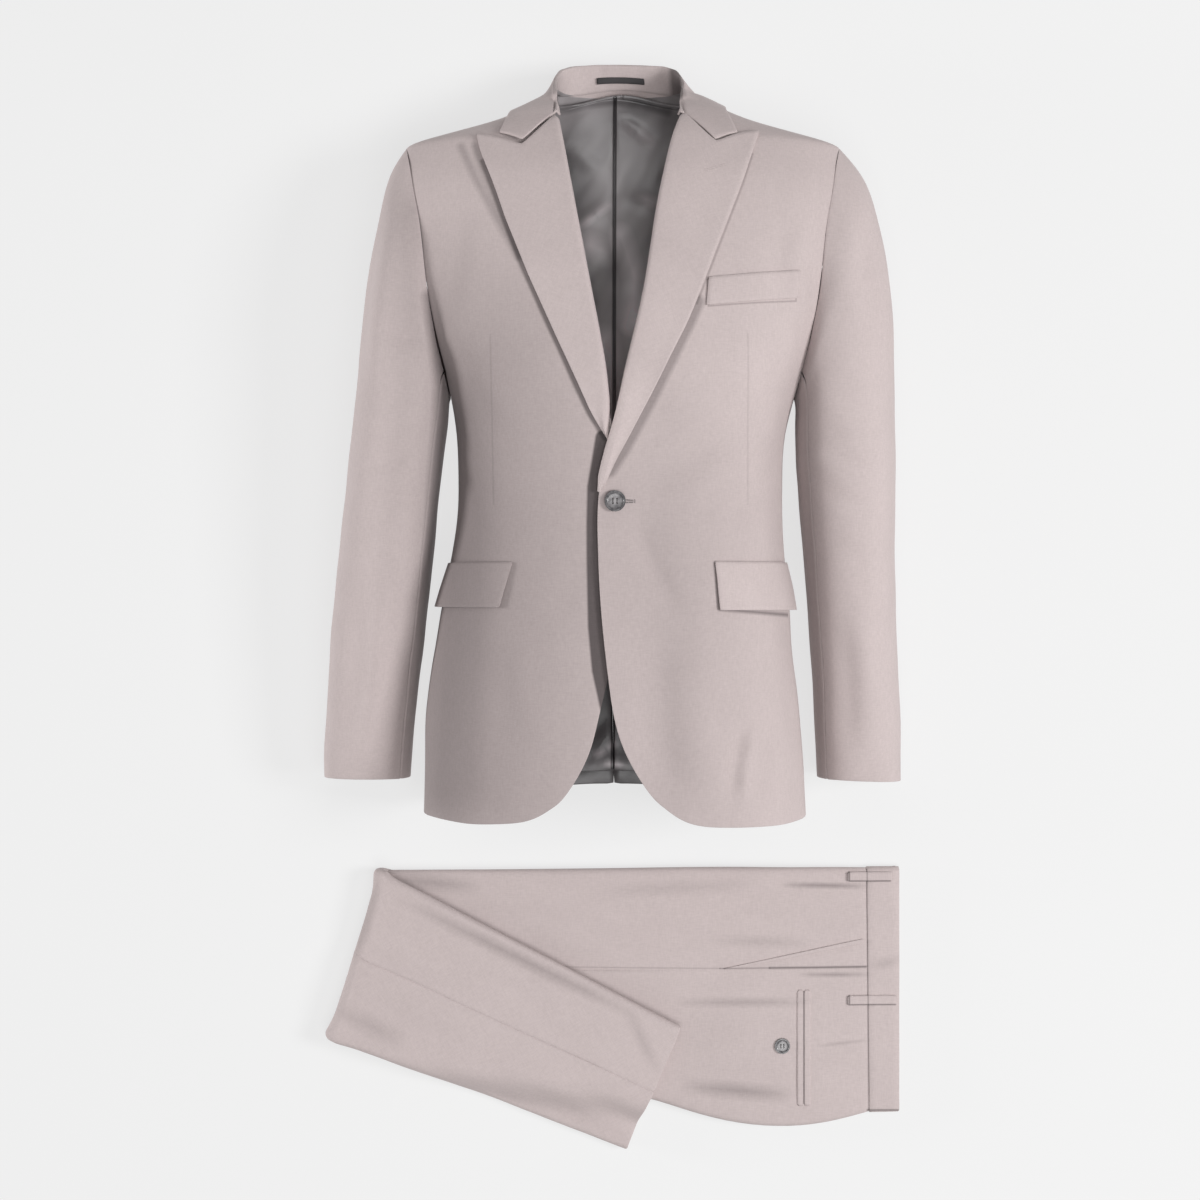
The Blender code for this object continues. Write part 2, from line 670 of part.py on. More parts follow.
def side_panel_grid(side):
    """The (q, y) grid of a side body, between its two seams and under the armhole."""
    front_rows = side_border(SIDE_SEAM_FRONT, front_hem_corner_y(side))[: ROWS_BELOW_ARMHOLE + 1]
    back_rows = side_border(SIDE_SEAM_BACK, BACK_HEM_SIDE_Y)[: ROWS_BELOW_ARMHOLE + 1]
    front_rows[:, 0] -= 2 * SEAM_Q
    back_rows[:, 0] += 2 * SEAM_Q
    angles = np.linspace(armhole_angle_at(SIDE_SEAM_BACK), armhole_angle_at(SIDE_SEAM_FRONT), SIDE_COLUMNS + 1)
    top = np.stack(armhole_q(angles), axis=-1)
    top[0], top[-1] = back_rows[-1], front_rows[-1]
    bottom = np.linspace(back_rows[0], front_rows[0], SIDE_COLUMNS + 1)
    return fill_borders(bottom, top, back_rows, front_rows)


def front_hem_corner_y(side):
    """Where the front's hem meets its side seam."""
    hem_y = curve_through([spot.x for spot in HEMS[side]], [spot.y for spot in HEMS[side]])
    return float(hem_y(body_points(side, SIDE_SEAM_FRONT + SEAM_Q, BACK_HEM_SIDE_Y)[0]))


def back_neck_y(q):
    """The neckline's height round the back."""
    return NECK_POINT_Y + BACK_NECK_RISE * np.sin(math.pi / 2 * np.abs(q)) ** 2


def back_hem_y(q):
    """The hem's height round the back, risen at the middle."""
    return BACK_HEM_SIDE_Y + (BACK_HEM_MIDDLE_Y - BACK_HEM_SIDE_Y) * smooth_step(np.abs(q))


def back_panel_grid():
    """The (q, y) grid of half the back, from its side to the middle seam."""
    outer = side_border(SIDE_SEAM_BACK, float(back_hem_y(SIDE_SEAM_BACK)))
    middle_q = -1 + SEAM_Q
    rows = (outer[0, 1], BACK_SIDE_ROWS_AT_Y, ARMHOLE_Y + ARMHOLE_HALF_HEIGHT, PANEL_TOP_Y)
    neck_middle_y = float(back_neck_y(1.0))
    middle_y = np.interp(outer[:, 1], rows, (BACK_HEM_MIDDLE_Y, *BACK_MIDDLE_ROWS_AT_Y, neck_middle_y))
    middle = np.stack([np.full(len(middle_y), middle_q), middle_y], axis=-1)
    hem_q = np.linspace(outer[0, 0], middle_q, BACK_COLUMNS)
    hem = np.stack([hem_q, back_hem_y(hem_q)], axis=-1)
    hem[0] = outer[0]
    hem[-1] = middle[0]
    top_q = np.linspace(outer[-1, 0], middle_q, BACK_COLUMNS)
    top_y = back_neck_y(top_q) - (NECK_POINT_Y - PANEL_TOP_Y) * (1 - smooth_step(np.abs(top_q)))
    top = np.stack([top_q, top_y], axis=-1)
    top[0], top[-1] = outer[-1], middle[-1]
    return fill_borders(hem, top, outer, middle)


def make_body():
    """The fronts, side bodies and backs."""
    for side, hand in ((LEFT, "left"), (RIGHT, "right")):
        body_wall(f"front_{hand}", side, front_panel_grid(side))
        body_wall(f"side_{hand}", side, side_panel_grid(side))
        body_wall(f"back_{hand}", side, back_panel_grid())


# Sleeves
def sleeve_rings(side, rows):
    """A sleeve's closed rings, from the armhole to the cuff, counted from the outer point over the front."""
    turn = np.linspace(0, 2 * math.pi, SLEEVE_AROUND, endpoint=False)
    angle = math.pi - turn
    q, y = armhole_q(angle)
    hole_normals = body_normals(side, q, y)
    rings = [body_points(side, q, y) + hole_normals * SLEEVE_STANDS_OFF]
    for row in rows:
        across = np.sign(np.cos(turn)) * np.abs(np.cos(turn)) ** SLEEVE_ROUND
        rise = np.sign(np.sin(turn)) * np.abs(np.sin(turn)) ** SLEEVE_ROUND
        outer = np.array([row.outer_x, row.outer_y])
        inner = np.array([row.inner_x, row.inner_y])
        flat = (outer + inner) / 2 + (outer - inner) / 2 * across[:, None]
        z = row.middle_z + rise * np.where(rise > 0, row.front, row.back)
        rings.append(np.column_stack([flat, np.maximum(z, 0)]))
    return np.array(rings), hole_normals


def sleeve_walls(side, rows):
    """The outer and inner faces of a sleeve's cloth."""
    outer, hole_normals = sleeve_rings(side, rows)
    normals = grid_normals(outer, closed=True)
    centre = outer.mean(axis=1, keepdims=True)
    if np.sum(normals * (outer - centre)) < 0:
        normals = -normals
    along_hole = normals[0] - hole_normals * np.sum(normals[0] * hole_normals, axis=-1, keepdims=True)
    normals[0] = unit(along_hole)
    inner = outer - normals * CLOTH
    return outer, inner


def make_sleeves():
    """Each sleeve in two pieces, joined along its front and back seams."""
    for side, hand, rows in ((LEFT, "left", LEFT_SLEEVE), (RIGHT, "right", RIGHT_SLEEVE)):
        outer, inner = sleeve_walls(side, rows)
        upper = [*range(SLEEVE_BACK_SEAM - SLEEVE_AROUND, SLEEVE_FRONT_SEAM + 1)]
        under = [*range(SLEEVE_FRONT_SEAM, SLEEVE_BACK_SEAM + 1)]
        for name, columns in (("upper", upper), ("under", under)):
            faces = [face[:, columns].copy() for face in (outer, inner)]
            gap = np.full((len(outer), 1), SLEEVE_SEAM_GAP)
            gap[:ARMHOLE_SEAM_RINGS] = ARMHOLE_SEAM_GAP
            for face in faces:
                for end, next_in in ((0, 1), (-1, -2)):
                    face[:, end] += unit(face[:, next_in] - face[:, end]) * gap / 2
            cloth_wall(f"sleeve_{name}_{hand}", *faces)


# Collar
def collar_section(side, station):
    """The visible face across the collar, from the stand's foot over the roll to the leaf's edge."""
    roll_x = COLLAR_CENTRE_X + side * station.roll_out
    leaf_x = COLLAR_CENTRE_X + side * station.leaf_out
    if station.foot_q > 0:
        spots = FRONT_EDGES[side]
        edge_x = curve_through([spot.y for spot in spots], [spot.x for spot in spots])
        foot_y = min(station.roll_y, PANEL_TOP_Y)
        foot_x = float(edge_x(foot_y)) - side * STAND_CLEAR
        foot = front_points(side, foot_x, foot_y, -CLOTH / 2)
        roll_z = float(front_points(side, roll_x, foot_y, ROLL_HEIGHT)[2])
        if station.roll_y > PANEL_TOP_Y:
            roll_z = max(roll_z, station.roll_z)
        roll = np.array([roll_x, station.roll_y, roll_z])
        over = front_points(side, leaf_x, station.leaf_y, LEAF_CLEAR)
        leaf = np.array([leaf_x, station.leaf_y, over[2]])
    else:
        foot = body_points(side, station.foot_q, float(back_neck_y(station.foot_q)))
        foot = foot + np.array([0, STAND_CLEAR, 0]) - body_normals(side, station.foot_q, foot[1]) * CLOTH / 2
        roll = np.array([roll_x, station.roll_y, station.roll_z])
        leaf = np.array([leaf_x, station.leaf_y, station.leaf_z])
    up = unit(roll - foot)
    out = leaf - foot
    out = unit(out - up * (out @ up))
    near_roll = roll - up * ROLL_DROP
    fall_top = near_roll + out * ROLL_HALF
    stand_top = near_roll - out * ROLL_HALF
    points = [foot, (foot + stand_top) / 2, stand_top, roll, fall_top]
    for share in LEAF_STEPS:
        spot = fall_top * (1 - share) + leaf * share
        if station is COLLAR[-1] and share < 1:
            kink = np.array([COLLAR_CENTRE_X + side * (GORGE_KINK.x - COLLAR_CENTRE_X), GORGE_KINK.y])
            start, end = (fall_top[:2], kink) if share <= GORGE_AT else (kink, leaf[:2])
            part = share / GORGE_AT if share <= GORGE_AT else (share - GORGE_AT) / (1 - GORGE_AT)
            flat = start * (1 - part) + end * part
            spot = front_points(side, flat[0], flat[1], LEAF_CLEAR + GORGE_RISE * (1 - share))
        points.append(spot)
    return np.array(points)


def clear_of(tree, spot, clearance):
    """The spot, moved out where it lies nearer to the body's outer face than this."""
    found, normal, _, distance = tree.find_nearest(Vector(spot))
    if found is None or distance > COLLAR_KEPT_OFF_WITHIN:
        return spot
    height = (Vector(spot) - found).dot(normal)
    if height >= clearance:
        return spot
    return np.array(found + normal * clearance)


def body_tree():
    """The body's outer face, to keep the collar off it."""
    points, faces = [], []
    for side in (LEFT, RIGHT):
        rows = np.linspace(COLLAR_KEPT_OFF_FROM_Y, NECK_POINT_Y + BACK_NECK_RISE, BODY_TREE_ROWS)
        places = np.linspace(-1, 1, BODY_TREE_COLUMNS)
        q, y = np.meshgrid(places, rows)
        y = np.minimum(y, np.where(q < 0, back_neck_y(q), NECK_POINT_Y))
        grid = body_points(side, q, y)
        count = sum(len(block) for block in points)
        index = count + np.arange(q.size).reshape(q.shape)
        points.append(grid.reshape(-1, 3))
        for i in range(q.shape[0] - 1):
            for j in range(q.shape[1] - 1):
                quad = (index[i, j], index[i, j + 1], index[i + 1, j + 1], index[i + 1, j])
                faces.append(tuple(int(k) for k in (quad if side == RIGHT else reversed(quad))))
    return BVHTree.FromPolygons([Vector(p) for p in np.concatenate(points)], faces)


def make_collar():
    """The collar: a stand round the neck, and the leaf that falls over it."""
    tree = body_tree()
    left = [collar_section(LEFT, station) for station in COLLAR[1:]]
    right = [collar_section(RIGHT, station) for station in reversed(COLLAR[1:])]
    sections = np.array(right + [collar_section(LEFT, COLLAR[0])] + left)
    finer = np.linspace(0, len(sections) - 1, 2 * len(sections) - 1)
    low = np.minimum(finer.astype(int), len(sections) - 2)
    part = (finer - low)[:, None, None]
    outer = sections[low] * (1 - part) + sections[low + 1] * part
    for section in outer:
        for k in range(LEAF_FROM_COLUMN, len(section)):
            section[k] = clear_of(tree, section[k], LEAF_CLEAR)
    normals = grid_normals(outer)
    middle = len(outer) // 2
    if normals[middle, 0, 2] < 0:
        normals = -normals
    cloth_wall("collar", outer, outer - normals * CLOTH)
    return outer, normals


# Lapels
def lapel_face(side, shape, edge_x, raised):
    """One face of a lapel: the roll's turn first, then its columns out to the edge."""
    roll_y = np.linspace(shape.roll_from_y, shape.roll_to_y, LAPEL_ROWS)
    roll = np.stack([edge_x(roll_y) + side * ROLL_START, roll_y], axis=-1)
    outer = resample(np.array(shape.outer_edge), LAPEL_ROWS)
    spots = np.round(np.array(LAPEL_SHARES) * LAPEL_TOP_STEPS).astype(int)
    top = resample(np.array(shape.top_edge), LAPEL_TOP_STEPS + 1)[spots]
    roll[-1] = top[0] + (side * ROLL_START, 0)
    top[0] = roll[-1]
    share = np.array(LAPEL_SHARES)[:, None]
    bottom = roll[0] * (1 - share) + outer[0] * share
    flat = fill_borders(bottom, top, roll, outer)
    drop = (LAPEL_EDGE_HEIGHT - LAPEL_ROLL_HEIGHT) * smooth_step(share[:, 0] * LAPEL_FLATTENS)
    height = LAPEL_ROLL_HEIGHT + drop
    height = np.broadcast_to(height - (0 if raised else CLOTH), flat.shape[:2])
    face = front_points(side, flat[..., 0], flat[..., 1], height)
    turn = []
    for beyond, over in ROLL_FACE if raised else ROLL_BACK:
        x = edge_x(roll_y)
        x[-1] = top[0, 0] - side * ROLL_START
        base = front_points(side, x, roll_y, np.full(len(x), over))
        base[:, 0] += side * beyond
        turn.append(base[:, None])
    return np.concatenate([*turn, face], axis=1)


def make_lapels():
    """The fronts' facings, turned back over them as peaked lapels."""
    for side, hand in ((LEFT, "left"), (RIGHT, "right")):
        spots = FRONT_EDGES[side]
        edge_x = curve_through([spot.y for spot in spots], [spot.x for spot in spots])
        outer = lapel_face(side, LAPELS[side], edge_x, True)
        inner = lapel_face(side, LAPELS[side], edge_x, False)
        cloth_wall(f"lapel_{hand}", outer, inner)


# Pockets, button and lining
def panel_on_front(name, side, flat, heights, thickness=TRIM_CLOTH, look=CLOTH_LOOK):
    """A piece of cloth over a front, from its plan grid and the heights of its outer face."""
    outer = front_points(side, flat[..., 0], flat[..., 1], heights)
    inner = front_points(side, flat[..., 0], flat[..., 1], heights - thickness)
    return cloth_wall(name, outer, inner, look)


def make_flaps():
    """The hip pockets' flaps, which wrap round to the sides and stand off at their lower rear corners."""
    for side, hand in ((LEFT, "left"), (RIGHT, "right")):
        shape = FLAPS[side]
        down = np.linspace(0, 1, FLAP_ROWS)[:, None]
        back = np.linspace(0, 1, FLAP_COLUMNS)[None]
        y = shape.top_y + (shape.bottom_y - shape.top_y) * down + 0 * back
        front_x = shape.top_front_x + (shape.bottom_front_x - shape.top_front_x) * down[:, 0]
        start = front_q(side, front_x, y[:, 0])[:, None]
        q = start + (shape.rear_q - start) * back
        low = FLAP_FRONT_BOTTOM_HEIGHT + (FLAP_REAR_BOTTOM_HEIGHT - FLAP_FRONT_BOTTOM_HEIGHT) * back**2
        height = (FLAP_TOP_HEIGHT + (low - FLAP_TOP_HEIGHT) * down)[..., None]
        points = body_points(side, q, y)
        normals = body_normals(side, q, y)
        cloth_wall(f"flap_{hand}", points + normals * height, points + normals * (height - TRIM_CLOTH))


def make_breast_welt():
    """The breast pocket's welt."""
    (low_front, low_side), (high_front, high_side) = WELT_CORNERS
    low = np.linspace(low_front, low_side, WELT_COLUMNS)
    high = np.linspace(high_front, high_side, WELT_COLUMNS)
    flat = np.linspace(low, high, 3)
    panel_on_front("breast_welt", LEFT, flat, np.full(flat.shape[:2], WELT_HEIGHT))


def make_button(name, x, y, z, scale=1.0):
    """A four-hole button with a raised rim, lying flat with its back at z."""
    turn = np.linspace(0, 2 * math.pi, BUTTON_AROUND, endpoint=False)
    rings = []
    for radius, height in BUTTON_PROFILE:
        ring = np.column_stack([np.cos(turn) * radius, np.sin(turn) * radius, np.full(BUTTON_AROUND, height)])
        rings.append(ring * scale + (x, y, z))
    button = solid_loft(name, np.array(rings), BUTTON_LOOK)
    for i in range(BUTTON_HOLES):
        angle = math.pi / BUTTON_HOLES + i * 2 * math.pi / BUTTON_HOLES
        across = BUTTON_HOLE_SPACING * scale
        place = (x + across * math.cos(angle), y + across * math.sin(angle), z + 1)
        bpy.ops.mesh.primitive_cylinder_add(
            vertices=BUTTON_HOLE_SIDES, radius=BUTTON_HOLE_RADIUS * scale * MM, depth=BUTTON_CUTTER_LENGTH * MM,
            location=[value * MM for value in place],
        )
        cutter = bpy.context.object
        cutter.name = f"hole_cutter_{name}_{i}"
        cutter.hide_render = True
        cutter.display_type = "WIRE"
        cut = button.modifiers.new(f"hole_{i}", "BOOLEAN")
        cut.operation = "DIFFERENCE"
        cut.object = cutter
    return button


def make_front_button():
    """The button that closes the fronts."""
    turn = np.linspace(0, 2 * math.pi, BUTTON_AROUND)
    x = BUTTON_CENTRE.x + BUTTON_RADIUS * np.cos(turn)
    y = BUTTON_CENTRE.y + BUTTON_RADIUS * np.sin(turn)
    highest = front_points(LEFT, x, y, np.zeros(BUTTON_AROUND))[:, 2].max()
    make_button("front_button", BUTTON_CENTRE.x, BUTTON_CENTRE.y, highest + BUTTON_STANDS_OFF)


def make_lining():
    """The back's lining in two halves, seen through the neck and the open hem."""
    for side, hand in ((LEFT, "left"), (RIGHT, "right")):
        places = back_panel_grid()[:, LINING_FROM_COLUMN:].copy()
        places[:, -1, 0] += SEAM_Q
        places[0, :, 1] += LINING_HEM
        places[-1, :, 1] -= LINING_NECK
        body_wall(f"lining_{hand}", side, places, LINING_LOOK, LINING_DEPTH, LINING_CLOTH)


def make_hanger_loop(outer, normals):
    """The hanger loop, sewn inside the collar's stand."""
    middle = len(outer) // 2
    low, high = outer[middle, 0], outer[middle, 2]
    x = np.linspace(-LOOP_HALF_LENGTH, LOOP_HALF_LENGTH, LOOP_COLUMNS)
    station_step = np.linalg.norm(outer[middle + 1, 1] - outer[middle, 1])
    share = LOOP_AT
    rows = []
    for offset in (-LOOP_HEIGHT / 2, LOOP_HEIGHT / 2):
        along = unit(high - low) * offset
        row = []
        for place in x:
            station = middle + place / station_step
            k = int(np.clip(math.floor(station), 0, len(outer) - 2))
            t = station - k
            foot = outer[k, 0] * (1 - t) + outer[k + 1, 0] * t
            head = outer[k, 2] * (1 - t) + outer[k + 1, 2] * t
            row.append(foot * (1 - share) + head * share + along)
        rows.append(row)
    base = np.array(rows)
    out = normals[middle, 1]
    cloth_wall("hanger_loop", base + out * LOOP_STANDS_OFF[1], base + out * LOOP_STANDS_OFF[0], LINING_LOOK)


# Trousers
def stack_section(front, seat, seam):
    """A closed section over the stack: up the front edge, over the top by the seam and down the seat edge."""
    front, seat, seam = (np.array(spot, float) for spot in (front, seat, seam))
    across = unit(seat - front)
    spots = [(front + across * (inset + SKIN), share) for inset, share in STACK_EDGE]
    top_from, top_to = spots[-1][0], seat - across * (STACK_EDGE[-1][0] + SKIN)
    for start, end in ((top_from, seam), (seam, top_to)):
        if end is top_to:
            spots.append((seam, 1.0))
        for share in TOP_SHARES:
            spots.append((start * (1 - share) + end * share, 1.0))
    spots += [(seat - across * (inset + SKIN), share) for inset, share in reversed(STACK_EDGE)]
    for share in BOTTOM_SHARES:
        spots.append((seat * (1 - share) + front * share, 0.0))
    flat = np.array([spot for spot, _ in spots])
    shares = np.array([share for _, share in spots])
    return flat, shares


def lower_stack_height(x):
    """The lower stack's height with its outer cloth."""
    heights = curve_through([row.front_x for row in STACK], [row.height for row in STACK])
    return heights(x)


def seat_edge_y(x):
    """The lower stack's seat edge."""
    return curve_through([row.seat_x for row in STACK], [row.seat_y for row in STACK])(x)


def rest_height(x, y):
    """How high the folded legs' underside lies: on the lower stack, and lower beyond its seat edge."""
    beyond = (y - seat_edge_y(x) + DRAPE_RUN) / (DRAPE_RUN - DRAPE_OVERHANG)
    return (lower_stack_height(x) + FOLDED_CLEAR) * smooth_step(beyond)


def lower_stack_rings():
    """Sections of the hidden layers between the waist and the fold."""
    rings = []
    for row in STACK:
        share = (SIDE_SEAM_Y - row.front_y) / (row.seat_y - row.front_y)
        seam = (row.front_x + (row.seat_x - row.front_x) * share, SIDE_SEAM_Y)
        flat, shares = stack_section((row.front_x, row.front_y), (row.seat_x, row.seat_y), seam)
        rings.append(np.column_stack([flat, shares * (row.height - SKIN)]))
    return np.array(rings)


def folded_rings():
    """Sections of the folded legs: round the fold from under to over, then along to the hem."""
    fold_front, fold_back = np.array(FOLD_FRONT), np.array(FOLD_BACK)
    hem_front, hem_back = np.array(HEM_FRONT), np.array(HEM_BACK)
    fold_way = unit(fold_back - fold_front)
    inward = np.array([-fold_way[1], fold_way[0]])
    middle_z = FOLD_RADIUS + FOLDED_SKIN[1]
    rings = []
    for turn in np.radians(FOLD_TURNS):
        shift = inward * middle_z
        seam = (fold_front + fold_back) / 2
        flat, shares = stack_section(fold_front, fold_back, seam)
        radius = FOLD_HOLLOW + shares * (FOLD_RADIUS - FOLD_HOLLOW)
        out = -inward * (radius * math.cos(turn))[:, None]
        z = middle_z + radius * math.sin(turn)
        rings.append(np.column_stack([flat + shift + out, z]))
    length = np.linalg.norm((hem_front + hem_back - fold_front - fold_back) / 2)
    for place in FOLDED_PLACES:
        share = (middle_z + place * (length - middle_z - PLY_LENGTH)) / length
        front = fold_front + (hem_front - fold_front) * share
        back = fold_back + (hem_back - fold_back) * share
        flat, shares = stack_section(front, back, (front + back) / 2)
        under = rest_height(flat[:, 0], flat[:, 1])
        start = smooth_step(place / FOLD_RUN)
        under = under * start + (middle_z + FOLD_HOLLOW) * (1 - start)
        thick = FOLDED_THICKNESS * start + (FOLD_RADIUS - FOLD_HOLLOW) * (1 - start)
        rings.append(np.column_stack([flat, under + shares * thick]))
    return np.array(rings)


def skin_over(name, rings, columns, rows=None, low=SKIN_GAP, high=SKIN, longer=(0.0, 0.0), pull=(0.0, 0.0)):
    """Cloth over a stack, along some of its columns, a little longer at its ends and pulled in at its sides."""
    normals = grid_normals(rings, closed=True)
    if np.sum(normals[len(rings) // 2, SEAM_COLUMN, 2]) < 0:
        normals = -normals
    rows = rows or slice(None)
    normals[:, TOP_COLUMNS] = (0, 0, 1)
    base = rings[rows][:, columns].copy()
    way = normals[rows][:, columns]
    for end, next_in, distance in ((0, 1, longer[0]), (-1, -2, longer[1])):
        base[end] += unit(base[end] - base[next_in]) * distance
    for end, next_in, distance in ((0, 1, pull[0]), (-1, -2, pull[1])):
        base[:, end] += unit(base[:, next_in] - base[:, end]) * distance
    return cloth_wall(name, base + way * high, base + way * low)


def trouser_top(x, y, height):
    """Points this high over the trousers' upper cloth, away from its edges."""
    x, y = np.broadcast_arrays(np.asarray(x, float), np.asarray(y, float))
    return np.stack([x, y, lower_stack_height(x) + height], axis=-1)


def strip_on_trousers(name, corners, low, high, steps=3):
    """A flat strip on the trousers' top, from its two long sides."""
    (a, b), (c, d) = corners
    flat = np.linspace(np.linspace(a, b, steps), np.linspace(c, d, steps), 2)
    upper = trouser_top(flat[..., 0], flat[..., 1], high)
    lower = trouser_top(flat[..., 0], flat[..., 1], low)
    return cloth_wall(name, upper, lower)


def make_trousers():
    """The lower stack with its outer cloth, and the legs folded back over it."""
    rings = lower_stack_rings()
    solid_loft("trouser_inner_layers", rings)
    body_rows = slice(1, len(STACK))
    front_columns = list(range(EDGE_SKIN_FROM, SEAM_COLUMN + 1))
    back_columns = list(range(SEAM_COLUMN, LAST_SKIN_COLUMN + 1))
    skin_over("trouser_front_left", rings, front_columns, body_rows, pull=(0, SEAM_PULL))
    skin_over("trouser_back_left", rings, back_columns, body_rows, pull=(SEAM_PULL, 0))
    make_waistband(rings)
    make_trouser_trims()
    folded = folded_rings()
    solid_loft("trouser_folded_layers", folded)
    longer = (0.0, PLY_LENGTH)
    skin_over("trouser_front_right", folded, front_columns, None, *FOLDED_SKIN, longer, (0, SEAM_PULL))
    skin_over("trouser_back_right", folded, back_columns, None, *FOLDED_SKIN, longer, (SEAM_PULL, 0))
    make_hem_plies(folded)


def make_waistband(rings):
    """The waistband's left half over the waist's end, and its right half under that."""
    columns = list(range(EDGE_SKIN_FROM, LAST_SKIN_COLUMN + 1))
    start = rings[1] + unit(rings[0] - rings[1]) * WAISTBAND_SEAM
    end = rings[0]
    longer = (0.0, WAIST_END_X - STACK[0].front_x)
    skin_over("waistband_left", np.array([start, end]), columns, None, WAISTBAND_LOW, WAISTBAND_HIGH, longer)
    front_y = STACK[0].front_y - RIGHT_WAISTBAND_INSET
    seat_y = STACK[0].seat_y + RIGHT_WAISTBAND_INSET
    y = np.linspace(front_y, seat_y, RIGHT_WAISTBAND_ROWS)
    x = np.array([STACK[0].front_x + WAISTBAND_SEAM, WAIST_END_X - RIGHT_WAISTBAND_SHORTER])
    low = np.stack(np.broadcast_arrays(x[:, None], y[None], 0.0), axis=-1)
    high = low + (0, 0, STACK[0].height * RIGHT_WAISTBAND_SHARE)
    cloth_wall("waistband_right", high, low)


def make_trouser_trims():
    """The slanted pocket's edge, belt loops, back pocket jets and the pocket's button."""
    mouth, waist = POCKET_MOUTH_OUTER, POCKET_MOUTH_WAIST
    step = POCKET_EDGE_OUTER_WIDTH
    below = (Spot(mouth.x + step.x, mouth.y + step.y), Spot(waist.x, waist.y - POCKET_EDGE_WAIST_WIDTH))
    strip_on_trousers("pocket_edge_left", ((mouth, waist), below), TRIM_LOW, TRIM_HIGH)
    for i, (start, end, y) in enumerate(BELT_LOOPS):
        sides = ((Spot(start, y), Spot(end, y)), (Spot(start, y - LOOP_WIDTH), Spot(end, y - LOOP_WIDTH)))
        strip_on_trousers(f"belt_loop_{i + 1}", sides, LOOP_LOW, LOOP_HIGH)
    for i, x in enumerate(JET_X):
        far = x + JET_WIDTH
        sides = ((Spot(x, JET_Y[0]), Spot(x, JET_Y[1])), (Spot(far, JET_Y[0]), Spot(far, JET_Y[1])))
        strip_on_trousers(f"back_pocket_jet_{i + 1}", sides, TRIM_LOW, TRIM_HIGH)
    height = float(lower_stack_height(POCKET_BUTTON.x + BUTTON_RADIUS * POCKET_BUTTON_SCALE))
    low = height + POCKET_BUTTON_STANDS_OFF
    make_button("pocket_button", POCKET_BUTTON.x, POCKET_BUTTON.y, low, POCKET_BUTTON_SCALE)


def make_hem_plies(folded):
    """The legs' hem edges, as plies that show under the outer cloth at the hem."""
    last, before = folded[-1], folded[-2]
    way = unit((last - before).mean(axis=0)[:2])
    top = last[TOP_COLUMNS]
    under = rest_height(top[:, 0], top[:, 1])
    for i, share in enumerate(HEM_PLIES):
        low = under + PLY_CLEAR + share * (top[:, 2] - under)
        start = np.column_stack([top[:, :2] + way * PLY_SEAM, low])
        reach = PLY_LENGTH - PLY_STEP * (len(HEM_PLIES) - i)
        end = np.column_stack([top[:, :2] + way * reach, low])
        base = np.array([start, end])
        cloth_wall(f"hem_ply_{i + 1}", base + (0, 0, PLY_CLOTH), base)


def stand_on_origin():
    """Moves everything so that the suit's bounding box stands centred on the origin."""
    bpy.context.view_layer.update()
    pieces = [piece for piece in bpy.data.objects if not piece.hide_render]
    corners = np.array([piece.matrix_world @ Vector(corner) for piece in pieces for corner in piece.bound_box])
    low, high = corners.min(axis=0), corners.max(axis=0)
    shift = Vector(((low[0] + high[0]) / 2, (low[1] + high[1]) / 2, low[2]))
    for piece in bpy.data.objects:
        piece.location -= shift


def main():
    """Builds the suit."""
    for old in list(bpy.data.objects):
        bpy.data.objects.remove(old, do_unlink=True)
    make_body()
    make_sleeves()
    collar, collar_normals = make_collar()
    make_hanger_loop(collar, collar_normals)
    make_lapels()
    make_flaps()
    make_breast_welt()
    make_front_button()
    make_lining()
    make_trousers()
    stand_on_origin()


main()
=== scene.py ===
"""A pale grey two-piece suit laid out for a catalogue.

The jacket lies filled out on its back, and the trousers lie folded below it.
"""

import logging
import math
from dataclasses import dataclass, field, replace
from enum import Enum
from functools import partial

import bmesh
import bpy
import numpy as np
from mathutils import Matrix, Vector
from mathutils.bvhtree import BVHTree


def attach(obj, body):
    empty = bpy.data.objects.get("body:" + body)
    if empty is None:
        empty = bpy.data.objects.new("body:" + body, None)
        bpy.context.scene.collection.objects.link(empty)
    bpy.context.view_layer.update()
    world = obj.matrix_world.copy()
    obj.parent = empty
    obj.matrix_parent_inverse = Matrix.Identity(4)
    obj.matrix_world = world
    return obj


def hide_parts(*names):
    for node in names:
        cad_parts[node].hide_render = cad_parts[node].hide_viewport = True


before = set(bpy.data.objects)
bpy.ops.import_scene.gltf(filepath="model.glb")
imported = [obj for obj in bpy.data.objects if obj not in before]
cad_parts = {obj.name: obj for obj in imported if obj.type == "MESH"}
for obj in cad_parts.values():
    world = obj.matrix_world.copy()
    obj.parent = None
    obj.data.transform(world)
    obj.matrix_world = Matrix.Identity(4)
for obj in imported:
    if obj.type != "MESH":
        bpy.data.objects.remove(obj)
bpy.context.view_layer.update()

Tree = bpy.types.NodeTree
Material = bpy.types.Material
Mesh = bpy.types.Mesh
Piece = bpy.types.Object

MM = 0.001
BODY = "root"
LOG = logging.getLogger("suit")
TINY = 1e-9

# Mesh work: lengths in metres, angles in degrees
MERGE_REACH = 1e-6
PAIR_FACE_ANGLE = 35.0
PAIR_SHAPE_ANGLE = 75.0
RIM_ANGLE = 62.0
RIM_WEIGHT = 0.9
SMOOTH_ANGLE = 50.0
REFINE_STEPS = 3
REFINE_SHARE = 0.6
REFINE_REACH = 0.0009
UPWARD = 0.9
RAY_HEIGHT = 1.0

# Cloth: lengths in millimetres
CREASE_TAPER = 0.35
SIDE_BLEND = 2.0
FLAT_BLEND = (2.0, 10.0)
FLOOR_GAP = 0.3
INWARD = -0.2

